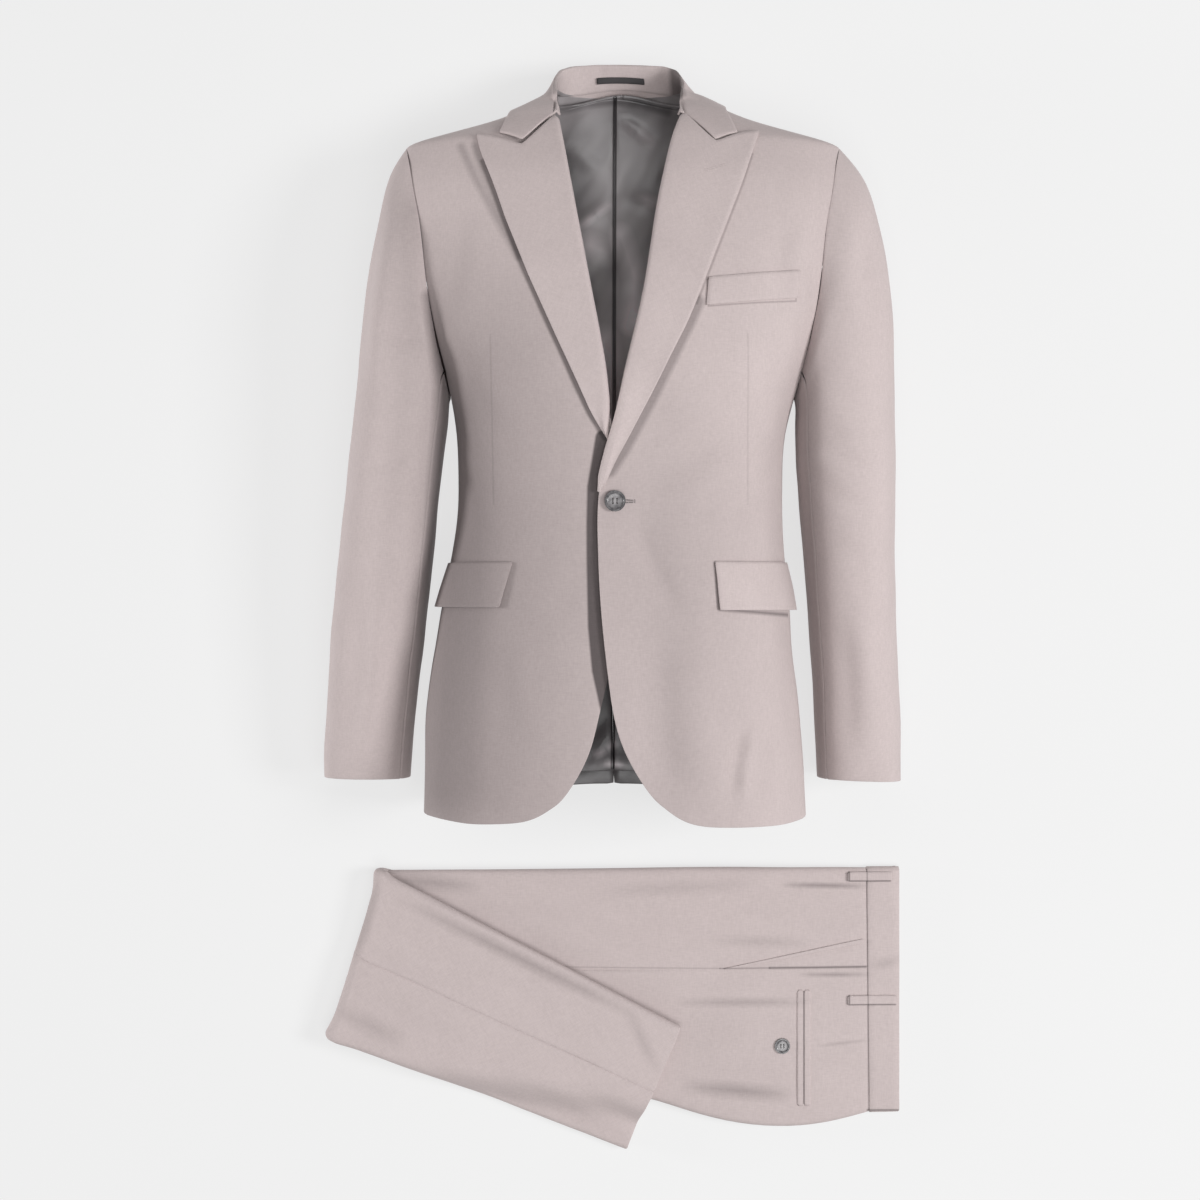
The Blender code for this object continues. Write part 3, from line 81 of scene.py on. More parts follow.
# Lines drawn on the cloth: a line wider than WIDEST_SEAM is a painted shade or a painted highlight, and has no
# groove; narrower lines are seams, darts and thin painted shadow lines, and get a groove
WIDEST_SEAM = 3.0
GROOVE = 2.0
# Tint that darkens the cloth for seams and for painted shades
SEAM_AND_PAINTED_SHADE = (0.24, 0.235, 0.24, 1.0)
# Tints above 1 that lighten the lining for painted highlights on its crumples, brighter in the hem opening
PAINTED_SATIN_HIGHLIGHT = (1.9, 1.87, 1.88, 1.0)
PAINTED_HEM_HIGHLIGHT = (3.6, 3.5, 3.5, 1.0)


class Held(Enum):
    """How a piece of cloth is held."""

    LAID = "laid"
    FOLDED = "folded"


class CreaseKind(Enum):
    """What a crease does to the cloth."""

    TROUGH = -1.0
    RIDGE = 1.0
    ROLL = 0.0


class Side(Enum):
    """Which side of a garment a crease is on."""

    TOP = 1.0
    UNDER = -1.0


class Rounding(Enum):
    """What subdividing does to a piece's faces."""

    ROUNDED = "CATMULL_CLARK"
    KEPT = "SIMPLE"


class Grain(Enum):
    """Which way the warp runs, as a turn about Z."""

    ALONG_Y = 0.0
    ALONG_X = math.pi / 2
    FOLDED_LEG = math.radians(-27.0)
    LEFT_LAPEL = math.radians(-20.0)
    RIGHT_LAPEL = math.radians(20.0)


# Shader node groups


def group_input(tree: Tree, name: str, kind: str, value: object) -> None:
    """Adds a named input to a node group.

    Args:
        tree: the group.
        name: the input's name.
        kind: its socket type.
        value: its default value.
    """
    socket = tree.interface.new_socket(name, in_out="INPUT", socket_type=kind)
    if value is not None:
        socket.default_value = value


def new_group(name: str, inputs: tuple, outputs: tuple) -> tuple:
    """Makes an empty shader node group.

    Args:
        name: the group's name.
        inputs: (name, socket type, default) for each input.
        outputs: (name, socket type) for each output.

    Returns:
        The group, its input node and its output node.
    """
    tree = bpy.data.node_groups.new(name, "ShaderNodeTree")
    for row in inputs:
        group_input(tree, *row)
    for label, kind in outputs:
        tree.interface.new_socket(label, in_out="OUTPUT", socket_type=kind)
    return tree, tree.nodes.new("NodeGroupInput"), tree.nodes.new("NodeGroupOutput")


def maths(tree: Tree, operation: str, first: object, second: object = 0.0, clamp: bool = False) -> object:
    """Adds a Math node.

    Args:
        tree: the node tree.
        operation: Blender's name for the operation.
        first: a socket or a number.
        second: a socket or a number.
        clamp: whether the result is kept between 0 and 1.

    Returns:
        The result's socket.
    """
    node = tree.nodes.new("ShaderNodeMath")
    node.operation = operation
    node.use_clamp = clamp
    for socket, value in zip(node.inputs, (first, second)):
        if isinstance(value, (int, float)):
            socket.default_value = value
        else:
            tree.links.new(value, socket)
    return node.outputs[0]


def vectors(tree: Tree, operation: str, first: object, second: object = (0.0, 0.0, 0.0)) -> object:
    """Adds a Vector Math node.

    Args:
        tree: the node tree.
        operation: Blender's name for the operation.
        first: a socket or three numbers.
        second: a socket or three numbers.

    Returns:
        The result's socket, a vector or, for DOT_PRODUCT and LENGTH, a number.
    """
    node = tree.nodes.new("ShaderNodeVectorMath")
    node.operation = operation
    for socket, value in zip(node.inputs, (first, second)):
        if isinstance(value, tuple):
            socket.default_value = value
        else:
            tree.links.new(value, socket)
    return node.outputs["Value" if operation in ("DOT_PRODUCT", "LENGTH") else "Vector"]


def stretched_noise(tree: Tree, place: object, stretch: tuple, scale: float, detail: float) -> object:
    """Adds a noise that is drawn out along one way.

    Args:
        tree: the node tree.
        place: the socket that it is read at.
        stretch: factors along X, Y and Z.
        scale: the noise's scale, in cells a metre.
        detail: its detail.

    Returns:
        The noise's factor.
    """
    noise = tree.nodes.new("ShaderNodeTexNoise")
    set_inputs(noise, {"Scale": scale, "Detail": detail})
    tree.links.new(vectors(tree, "MULTIPLY", place, stretch), noise.inputs["Vector"])
    return noise.outputs["Fac"]


def set_inputs(node: bpy.types.Node, values: dict) -> None:
    """Sets a node's inputs.

    Args:
        node: the node.
        values: the values by input name.
    """
    for name, value in values.items():
        node.inputs[name].default_value = value


def turned(tree: Tree, place: object) -> bpy.types.Node:
    """Adds a turn about Z of the places that a socket gives, and returns its node."""
    turn = tree.nodes.new("ShaderNodeVectorRotate")
    turn.rotation_type = "Z_AXIS"
    tree.links.new(place, turn.inputs["Vector"])
    return turn


def worsted_group() -> Tree:
    """Makes the cloth's own effect: fine crossed yarns, with lighter and darker fibres twisted in.

    Returns:
        The group, from a place, a warp turn and a yarn count to Yarns and Heather, both 0 to 1.
    """
    tree, given, result = new_group(
        "worsted yarns",
        (
            ("Place", "NodeSocketVector", None),
            ("Warp Turn", "NodeSocketFloat", 0.0),
            ("Yarns A Metre", "NodeSocketFloat", 900.0),
        ),
        (("Yarns", "NodeSocketFloat"), ("Heather", "NodeSocketFloat")),
    )
    turn = turned(tree, given.outputs["Place"])
    tree.links.new(given.outputs["Warp Turn"], turn.inputs["Angle"])
    count = tree.nodes.new("ShaderNodeCombineXYZ")
    for socket in count.inputs:
        tree.links.new(given.outputs["Yarns A Metre"], socket)
    scaled = vectors(tree, "MULTIPLY", turn.outputs["Vector"], count.outputs["Vector"])
    warp = stretched_noise(tree, scaled, (1.0, 0.16, 0.5), 1.0, 1.0)
    weft = stretched_noise(tree, scaled, (0.16, 1.0, 0.5), 1.0, 1.0)
    crossed = maths(tree, "MULTIPLY", maths(tree, "ADD", warp, weft), 0.5)
    clouds = stretched_noise(tree, turn.outputs["Vector"], (1.0, 0.55, 1.0), 30.0, 3.0)
    heather = maths(tree, "ADD", maths(tree, "MULTIPLY", crossed, 0.8), maths(tree, "MULTIPLY", clouds, 0.2))
    tree.links.new(crossed, result.inputs["Yarns"])
    tree.links.new(heather, result.inputs["Heather"])
    return tree


def seam_or_painted_light_group() -> Tree:
    """Makes the line that a seam, a painted shade beside an edge or a painted highlight draws on the cloth, seen
    along Z.

    Returns:
        The group, from a place, two ends, a width, a crispness and a fade towards the ends
        to Line, 1 on the line and 0 off it.
    """
    tree, given, result = new_group(
        "seam or painted light line",
        (
            ("Place", "NodeSocketVector", None),
            ("Start", "NodeSocketVector", (0.0, 0.0, 0.0)),
            ("End", "NodeSocketVector", (0.0, 0.1, 0.0)),
            ("Width", "NodeSocketFloat", 0.001),
            ("Crispness", "NodeSocketFloat", 1.0),
            ("Fade", "NodeSocketFloat", 0.0),
        ),
        (("Line", "NodeSocketFloat"),),
    )
    flat = vectors(tree, "MULTIPLY", given.outputs["Place"], (1.0, 1.0, 0.0))
    away = vectors(tree, "SUBTRACT", flat, given.outputs["Start"])
    run = vectors(tree, "SUBTRACT", given.outputs["End"], given.outputs["Start"])
    passed = vectors(tree, "DOT_PRODUCT", away, run)
    share = maths(tree, "DIVIDE", passed, vectors(tree, "DOT_PRODUCT", run, run), clamp=True)
    along = tree.nodes.new("ShaderNodeVectorMath")
    along.operation = "SCALE"
    tree.links.new(run, along.inputs[0])
    tree.links.new(share, along.inputs["Scale"])
    distance = vectors(tree, "LENGTH", vectors(tree, "SUBTRACT", away, along.outputs["Vector"]))
    near = maths(tree, "SUBTRACT", 1.0, maths(tree, "DIVIDE", distance, given.outputs["Width"]), clamp=True)
    crisp = maths(tree, "MULTIPLY", near, given.outputs["Crispness"], clamp=True)
    off_middle = maths(tree, "SUBTRACT", maths(tree, "MULTIPLY", share, 2.0), 1.0)
    faded = maths(tree, "MULTIPLY", maths(tree, "MULTIPLY", off_middle, off_middle), given.outputs["Fade"])
    line = maths(tree, "MULTIPLY", crisp, maths(tree, "SUBTRACT", 1.0, faded))
    tree.links.new(line, result.inputs["Line"])
    return tree


# Finishes


def colour_ramp(tree: Tree, factor: object, low: tuple, high: tuple, reach: tuple = (0.3, 0.7)) -> object:
    """Adds a ramp between two colours.

    Args:
        tree: the node tree.
        factor: the socket that drives it.
        low: the colour at the low end.
        high: the colour at the high end.
        reach: the factors at the two ends.

    Returns:
        The colour's socket.
    """
    ramp = tree.nodes.new("ShaderNodeValToRGB")
    for element, place, colour in zip(ramp.color_ramp.elements, reach, (low, high)):
        element.position = place
        element.color = (*colour, 1.0)
    tree.links.new(factor, ramp.inputs["Fac"])
    return ramp.outputs["Color"]


def bump(tree: Tree, shader: bpy.types.Node, height: object, distance: float, strength: float) -> None:
    """Links a height to a shader's normal.

    Args:
        tree: the node tree.
        shader: the shader node.
        height: the height's socket.
        distance: how deep a height of 1 is, in metres.
        strength: how strongly it shows.
    """
    node = tree.nodes.new("ShaderNodeBump")
    set_inputs(node, {"Distance": distance, "Strength": strength})
    tree.links.new(height, node.inputs["Height"])
    tree.links.new(node.outputs["Normal"], shader.inputs["Normal"])


@dataclass(frozen=True)
class SeamOrPaintedLight:
    """A dart, seam or pressed line along a path on the cloth, or a wider painted shade or painted highlight, in
    millimetres.
    """

    path: tuple[tuple[float, float], ...]
    width: float = 1.2
    strength: float = 0.5
    crispness: float = 1.0
    fade: float = 0.0
    tint: tuple[float, float, float, float] = SEAM_AND_PAINTED_SHADE

    def drawn(self, tree: Tree, groups: "Groups", place: object) -> object:
        """Draws the path.

        Args:
            tree: the material's node tree.
            groups: the shared node groups.
            place: the socket that places are read from.

        Returns:
            A socket that is 1 on the path and 0 off it.
        """
        line = None
        for start, end in zip(self.path, self.path[1:]):
            seam = groups.place(tree, groups.seam, place)
            ends = {"Start": (start[0] * MM, start[1] * MM, 0.0), "End": (end[0] * MM, end[1] * MM, 0.0)}
            set_inputs(seam, {**ends, "Width": self.width * MM, "Crispness": self.crispness, "Fade": self.fade})
            line = seam.outputs["Line"] if line is None else maths(tree, "MAXIMUM", line, seam.outputs["Line"])
        return line

    def sew_or_paint(self, tree: Tree, groups: "Groups", place: object, colour: object, height: object) -> tuple:
        """Draws the line into a finish's colour and, if it is a seam, into its height.

        Args:
            tree: the material's node tree.
            groups: the shared node groups.
            place: the socket that places are read from.
            colour: the colour's socket so far.
            height: the height's socket so far.

        Returns:
            The new colour's and height's sockets.
        """
        line = self.drawn(tree, groups, place)
        # The tint multiplies the colour: darker for seams and painted shades, lighter for painted highlights
        mix = tree.nodes.new("ShaderNodeMix")
        mix.data_type = "RGBA"
        mix.blend_type = "MULTIPLY"
        mix.inputs["B"].default_value = self.tint
        tree.links.new(maths(tree, "MULTIPLY", line, self.strength), mix.inputs["Factor"])
        tree.links.new(colour, mix.inputs["A"])
        if self.width < WIDEST_SEAM:
            height = maths(tree, "SUBTRACT", height, maths(tree, "MULTIPLY", line, GROOVE * self.strength))
        return mix.outputs["Result"], height


class Finish:
    """What a surface is made of, where each kind paints a material of its own."""

    name: str

    def material(self, groups: "Groups") -> Material:
        """Makes the material.

        Args:
            groups: the shared node groups.

        Returns:
            The material.
        """
        material = bpy.data.materials.new(self.name)
        material.use_nodes = True
        tree = material.node_tree
        place = tree.nodes.new("ShaderNodeTexCoord").outputs["Object"]
        self.paint(tree, tree.nodes["Principled BSDF"], place, groups)
        return material

    def paint(self, tree: Tree, shader: bpy.types.Node, place: object, groups: "Groups") -> None:
        """Links the finish's own nodes to the shader.

        Args:
            tree: the material's node tree.
            shader: its Principled BSDF.
            place: the socket of the Object coordinates.
            groups: the shared node groups.
        """
        raise NotImplementedError


@dataclass(frozen=True)
class WorstedFinish(Finish):
    """The suit's pale warm grey wool, matt, with a little fuzz that catches the light at grazing angles."""

    name: str = "worsted"
    grain: Grain = Grain.ALONG_Y
    dark: tuple = (0.452, 0.386, 0.380)
    light: tuple = (0.534, 0.458, 0.451)
    lines: tuple[SeamOrPaintedLight, ...] = ()

    def paint(self, tree: Tree, shader: bpy.types.Node, place: object, groups: "Groups") -> None:
        """Paints the wool's heathered yarns, and the seams and painted shades on it.

        Args:
            tree: the material's node tree.
            shader: its Principled BSDF.
            place: the socket of the Object coordinates.
            groups: the shared node groups.
        """
        yarns = groups.place(tree, groups.worsted, place)
        set_inputs(yarns, {"Warp Turn": self.grain.value})
        colour = colour_ramp(tree, yarns.outputs["Heather"], self.dark, self.light)
        height = yarns.outputs["Yarns"]
        for line in self.lines:
            colour, height = line.sew_or_paint(tree, groups, place, colour, height)
        tree.links.new(colour, shader.inputs["Base Color"])
        set_inputs(shader, {"Roughness": 0.88, "Specular IOR Level": 0.25})
        set_inputs(shader, {"Sheen Weight": 0.12, "Sheen Roughness": 0.45, "Sheen Tint": (1.0, 0.96, 0.95, 1.0)})
        bump(tree, shader, height, 0.0002, 0.3)


@dataclass(frozen=True)
class SatinFinish(Finish):
    """The dark grey lining satin, with long soft wrinkles whose crests are painted lighter, a painted sheen where
    they take the light.
    """

    name: str = "lining satin with painted light"
    # The two ends of the painted sheen on the wrinkles, from their hollows to their crests
    dark: tuple = (0.275, 0.256, 0.260)
    light: tuple = (0.740, 0.688, 0.697)
    lines: tuple[SeamOrPaintedLight, ...] = ()
    roughness: float = 0.36
    shine: float = 0.5
    wrinkle_turn: float = 32.0
    wrinkle_height: float = 14.0
    yarn_height: float = 0.12

    def paint(self, tree: Tree, shader: bpy.types.Node, place: object, groups: "Groups") -> None:
        """Paints the satin's wrinkles, with a painted sheen on their crests, and the lines on it.

        Args:
            tree: the material's node tree.
            shader: its Principled BSDF.
            place: the socket of the Object coordinates.
            groups: the shared node groups.
        """
        turn = turned(tree, place)
        set_inputs(turn, {"Angle": math.radians(self.wrinkle_turn)})
        wrinkles = stretched_noise(tree, turn.outputs["Vector"], (1.0, 0.38, 1.0), 17.0, 2.0)
        # The colour follows the wrinkles' height: a painted sheen, lighter on their crests
        colour = colour_ramp(tree, wrinkles, self.dark, self.light, (0.36, 0.66))
        yarns = groups.place(tree, groups.worsted, place)
        set_inputs(yarns, {"Yarns A Metre": 1400.0})
        folds = maths(tree, "MULTIPLY", wrinkles, self.wrinkle_height)
        height = maths(tree, "ADD", folds, maths(tree, "MULTIPLY", yarns.outputs["Yarns"], self.yarn_height))
        for line in self.lines:
            colour, height = line.sew_or_paint(tree, groups, place, colour, height)
        tree.links.new(colour, shader.inputs["Base Color"])
        set_inputs(shader, {"Roughness": self.roughness, "Specular IOR Level": self.shine})
        bump(tree, shader, height, 0.0009, 0.7)


@dataclass(frozen=True)
class HornFinish(Finish):
    """The buttons' dark grey horn, cloudy, with a paler middle and a dull polish."""

    name: str
    centre: tuple[float, float]
    dark: tuple = (0.045, 0.042, 0.046)
    light: tuple = (0.30, 0.285, 0.29)
    radius: float = 10.8

    def paint(self, tree: Tree, shader: bpy.types.Node, place: object, groups: "Groups") -> None:
        """Paints the horn's clouds and its paler middle.

        Args:
            tree: the material's node tree.
            shader: its Principled BSDF.
            place: the socket of the Object coordinates.
            groups: the shared node groups, not used here.
        """
        clouds = stretched_noise(tree, place, (1.0, 1.0, 1.0), 260.0, 3.0)
        away = vectors(tree, "SUBTRACT", place, (self.centre[0] * MM, self.centre[1] * MM, 0.0))
        distance = vectors(tree, "LENGTH", vectors(tree, "MULTIPLY", away, (1.0, 1.0, 0.0)))
        middle = maths(tree, "SUBTRACT", 1.0, maths(tree, "DIVIDE", distance, self.radius * MM), clamp=True)
        shade = maths(tree, "ADD", maths(tree, "MULTIPLY", clouds, 0.75), maths(tree, "MULTIPLY", middle, 0.55))
        tree.links.new(colour_ramp(tree, shade, self.dark, self.light, (0.36, 0.88)), shader.inputs["Base Color"])
        set_inputs(shader, {"Roughness": 0.34, "Coat Weight": 0.25})
        bump(tree, shader, clouds, 0.00015, 0.35)


@dataclass(frozen=True)
class ThreadFinish(Finish):
    """Twisted sewing thread."""

    name: str = "sewing thread"
    dark: tuple = (0.075, 0.068, 0.07)
    light: tuple = (0.16, 0.148, 0.15)

    def paint(self, tree: Tree, shader: bpy.types.Node, place: object, groups: "Groups") -> None:
        """Paints the thread's twist.

        Args:
            tree: the material's node tree.
            shader: its Principled BSDF.
            place: the socket of the Object coordinates.
            groups: the shared node groups, not used here.
        """
        twist = stretched_noise(tree, place, (1.0, 0.3, 1.0), 2600.0, 1.0)
        tree.links.new(colour_ramp(tree, twist, self.dark, self.light), shader.inputs["Base Color"])
        set_inputs(shader, {"Roughness": 0.7})
        bump(tree, shader, twist, 0.0001, 0.5)


@dataclass(frozen=True)
class FloorFinish(Finish):
    """The studio's plain pale floor, which lights itself a little so that shadows stay faint."""

    name: str = "pale floor"
    colour: tuple = (0.18, 0.18, 0.18)
    glow: float = 0.672

    def paint(self, tree: Tree, shader: bpy.types.Node, place: object, groups: "Groups") -> None:
        """Paints the floor's even grey and its faint glow.

        Args:
            tree: the material's node tree.
            shader: its Principled BSDF.
            place: the socket of the Object coordinates.
            groups: the shared node groups, not used here.
        """
        grain = stretched_noise(tree, place, (1.0, 1.0, 1.0), 3.0, 1.0)
        low = tuple(value * 0.995 for value in self.colour)
        tree.links.new(colour_ramp(tree, grain, low, self.colour), shader.inputs["Base Color"])
        set_inputs(shader, {"Roughness": 1.0, "Specular IOR Level": 0.0})
        set_inputs(shader, {"Emission Color": (1.0, 1.0, 1.0, 1.0), "Emission Strength": self.glow})


class Groups:
    """The node groups that several finishes share."""

    def __init__(self) -> None:
        """Makes each group once."""
        self.worsted = worsted_group()
        # The line that seams, painted shades and painted highlights share
        self.seam = seam_or_painted_light_group()

    def place(self, tree: Tree, group: Tree, place: object) -> bpy.types.Node:
        """Puts a group into a material.

        Args:
            tree: the material's node tree.
            group: the group.
            place: the socket for its Place input.

        Returns:
            The group's node.
        """
        node = tree.nodes.new("ShaderNodeGroup")
        node.node_tree = group
        tree.links.new(place, node.inputs["Place"])
        return node


# How the cloth lies


@dataclass(frozen=True)
class Crease:
    """One crease, in millimetres, seen along Z."""

    start: tuple[float, float]
    end: tuple[float, float]
    width: float
    depth: float
    kind: CreaseKind = CreaseKind.TROUGH
    bow: float = 0.0
    side: Side = Side.TOP

    def amount(self, points: np.ndarray) -> np.ndarray:
        """How far the crease moves each point outwards.

        Args:
            points: places in millimetres, a row each.

        Returns:
            The move in millimetres, a number for each point.
        """
        start, end = np.array(self.start, float), np.array(self.end, float)
        run = end - start
        length = np.linalg.norm(run)
        run /= length
        away = points[:, :2] - start
        along = away @ run / length
        share = np.clip(along, 0, 1)
        across = (away @ np.array([-run[1], run[0]]) - self.bow * 4 * share * (1 - share)) / self.width
        ends = smooth(np.clip(along / CREASE_TAPER, 0, 1)) * smooth(np.clip((1 - along) / CREASE_TAPER, 0, 1))
        if self.kind is CreaseKind.ROLL:
            shape = across * np.exp(0.5 - across**2 / 2)
        else:
            shape = self.kind.value * np.exp(-(across**2))
        return self.depth * shape * ends


def smooth(share: np.ndarray) -> np.ndarray:
    """Eases a share from 0 to 1 at both its ends."""
    return share * share * (3 - 2 * share)


@dataclass(frozen=True)
class Form:
    """The round or flat form that a garment's layers share, so that a crease moves all of them together.

    The axis gives x and z at rows of y, and a flat form has none. Every length is in millimetres.
    """

    axis: tuple[tuple[float, float, float], ...]
    half_width: float
    half_depth: float
    creases: tuple[Crease, ...]
    waves: float = 0.5
    flat: bool = False

    def outward(self, points: np.ndarray) -> np.ndarray:
        """Which way is out at each point.

        Args:
            points: places in millimetres, a row each.

        Returns:
            Unit vectors, a row each.
        """
        if self.flat:
            return np.tile([0.0, 0.0, 1.0], (len(points), 1))
        rows = np.array(self.axis)
        x = np.interp(points[:, 1], rows[:, 0], rows[:, 1])
        z = np.interp(points[:, 1], rows[:, 0], rows[:, 2])
        sideways = (points[:, 0] - x) / self.half_width**2
        upwards = (points[:, 2] - z) / self.half_depth**2
        out = np.stack([sideways, np.zeros(len(points)), upwards], 1)
        return out / np.maximum(np.linalg.norm(out, axis=1, keepdims=True), TINY)

    def moved(self, points: np.ndarray) -> np.ndarray:
        """Lays the creases and the cloth's slight waves into a set of points.

        The waves cross each other at lengths that don't fit together, so that none of them shows.

        Args:
            points: places in millimetres, a row each.

        Returns:
            The new places.
        """
        out = self.outward(points)
        x, y, z = points.T
        amount = self.waves * (
            np.sin(x / 17.0 + y / 43.0) * np.sin(y / 31.0 - z / 29.0 + 0.7)
            + 0.6 * np.sin(x / 41.0 - y / 23.0 + 2.1)
            + 0.35 * np.sin(y / 11.0 + x / 9.0) * np.sin(x / 27.0)
        )
        for crease in self.creases:
            faces_it = smooth(np.clip(out[:, 2] * crease.side.value * SIDE_BLEND, 0, 1))
            amount = amount + crease.amount(points) * faces_it
        if self.flat:
            low, reach = FLAT_BLEND
            amount = amount * smooth(np.clip((z - low) / reach, 0, 1))
        new = points + out * amount[:, None]
        new[:, 2] = np.maximum(new[:, 2], np.minimum(z, FLOOR_GAP))
        return new


# Mesh work


def select_only(piece: Piece) -> None:
    """Makes one object the only selected one, and the active one."""
    bpy.ops.object.select_all(action="DESELECT")
    piece.select_set(True)
    bpy.context.view_layer.objects.active = piece


def mesh_points(mesh: Mesh) -> np.ndarray:
    """Reads a mesh's points.

    Args:
        mesh: the mesh.

    Returns:
        The places in metres, a row each.
    """
    points = np.empty(len(mesh.vertices) * 3)
    mesh.vertices.foreach_get("co", points)
    return points.reshape(-1, 3)


def set_points(mesh: Mesh, points: np.ndarray) -> None:
    """Writes a mesh's points.

    Args:
        mesh: the mesh.
        points: the places in metres, a row each.
    """
    mesh.vertices.foreach_set("co", points.reshape(-1))
    mesh.update()


def copy_solid(node: str, name: str) -> Piece:
    """Copies a CAD node into a new piece, with its corners merged and its triangles paired.

    Args:
        node: the CAD node.
        name: the new piece's name.

    Returns:
        The piece.
    """
    piece = bpy.data.objects.new(name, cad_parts[node].data.copy())
    bpy.context.scene.collection.objects.link(piece)
    piece.data.materials.clear()
    select_only(piece)
    bpy.ops.object.mode_set(mode="EDIT")
    bpy.ops.mesh.select_all(action="SELECT")
    bpy.ops.mesh.remove_doubles(threshold=MERGE_REACH)
    bpy.ops.mesh.tris_convert_to_quads(
        face_threshold=math.radians(PAIR_FACE_ANGLE), shape_threshold=math.radians(PAIR_SHAPE_ANGLE)
    )
    bpy.ops.object.mode_set(mode="OBJECT")
    return piece


def harden_rims(piece: Piece) -> None:
    """Keeps a wall's rims, the edges that turn more than RIM_ANGLE, crisp when it is subdivided.

    Args:
        piece: the piece.
    """
    select_only(piece)
    bpy.ops.object.mode_set(mode="EDIT")
    bpy.ops.mesh.select_all(action="DESELECT")
    bpy.ops.mesh.select_mode(type="EDGE")
    bpy.ops.mesh.edges_select_sharp(sharpness=math.radians(RIM_ANGLE))
    bpy.ops.transform.edge_crease(value=RIM_WEIGHT)
    bpy.ops.mesh.select_mode(type="VERT")
    bpy.ops.object.mode_set(mode="OBJECT")


def join_all(parts: list, name: str) -> Piece:
    """Joins objects into the first of them, with its origin at the scene's.

    Args:
        parts: the objects.
        name: the joined piece's name.

    Returns:
        The piece.
    """
    bpy.ops.object.select_all(action="DESELECT")
    for part in parts:
        part.select_set(True)
    bpy.context.view_layer.objects.active = parts[0]
    bpy.ops.object.join()
    bpy.ops.object.transform_apply(location=True, rotation=True, scale=True)
    parts[0].name = name
    return parts[0]


def refine(piece: Piece, levels: int, rounding: Rounding) -> None:
    """Subdivides a piece, and rounds it into a surface that still passes near its first points.

    Args:
        piece: the piece.
        levels: how often it is subdivided.
        rounding: whether its faces are rounded or kept.
    """
    aim = mesh_points(piece.data)
    modifier = piece.modifiers.new("rounding", "SUBSURF")
    modifier.subdivision_type = rounding.value
    modifier.levels = modifier.render_levels = levels
    for _ in range(REFINE_STEPS if rounding is Rounding.ROUNDED else 0):
        bpy.context.view_layer.update()
        evaluated = piece.evaluated_get(bpy.context.evaluated_depsgraph_get())
        missed = aim - mesh_points(evaluated.data)[: len(aim)]
        length = np.maximum(np.linalg.norm(missed, axis=1, keepdims=True), TINY)
        step = missed / length * np.minimum(REFINE_SHARE * length, REFINE_REACH)
        set_points(piece.data, mesh_points(piece.data) + step)
    select_only(piece)
    bpy.ops.object.modifier_apply(modifier=modifier.name)


def dress(piece: Piece, material: Material) -> None:
    """Gives a piece its finish, its smooth shading and its body.

    Args:
        piece: the piece.
        material: its material.
    """
    piece.data.materials.clear()
    piece.data.materials.append(material)
    select_only(piece)
    bpy.ops.object.shade_smooth_by_angle(angle=math.radians(SMOOTH_ANGLE))
    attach(piece, BODY)


@dataclass(frozen=True)
class Pull:
    """A corner that is drawn out to its sharp point, in millimetres."""

    start: tuple[float, float]
    way: tuple[float, float, float]
    reach: float

    def share(self, points: np.ndarray) -> np.ndarray:
        """How much of the pull each point takes, 0 to 1."""
        away = np.linalg.norm(points[:, :2] - np.array(self.start), axis=1)
        return np.exp(-((away / self.reach) ** 2))


def pulled(points: np.ndarray, pulls: tuple[Pull, ...]) -> np.ndarray:
    """Draws the corners out.

    Args:
        points: places in millimetres, a row each.
        pulls: the corners.

    Returns:
        The new places.
    """
    if not pulls:
        return points
    shares = np.stack([pull.share(points) for pull in pulls])
    shares /= np.maximum(shares.sum(axis=0), 1.0)
    return points + shares.T @ np.array([pull.way for pull in pulls])


def split_across(mesh: Mesh, height: float) -> None:
    """Splits the faces that a line along X passes, so that a second finish can end on it.

    Args:
        mesh: the mesh.
        height: where the line lies along Y, in metres.
    """
    edit = bmesh.new()
    edit.from_mesh(mesh)
    everything = edit.verts[:] + edit.edges[:] + edit.faces[:]
    bmesh.ops.bisect_plane(edit, geom=everything, plane_co=(0.0, height, 0.0), plane_no=(0.0, 1.0, 0.0))
    edit.to_mesh(mesh)
    edit.free()


@dataclass(frozen=True)
class Cut:
    """One cut piece of cloth: the CAD node it stands for, and its size before it was sewn, in metres.

    The inner finish covers what faces the garment's inside, below inner_below, in millimetres along Y.
    """

    node: str
    flat: tuple[float, float]
    area: float
    rests_on: tuple[str, ...]
    held: Held = Held.LAID
    levels: int = 2
    finish: str = "worsted"
    rounding: Rounding = Rounding.ROUNDED
    inner_finish: str = ""
    inner_below: float = 1000.0
    pulls: tuple[Pull, ...] = ()


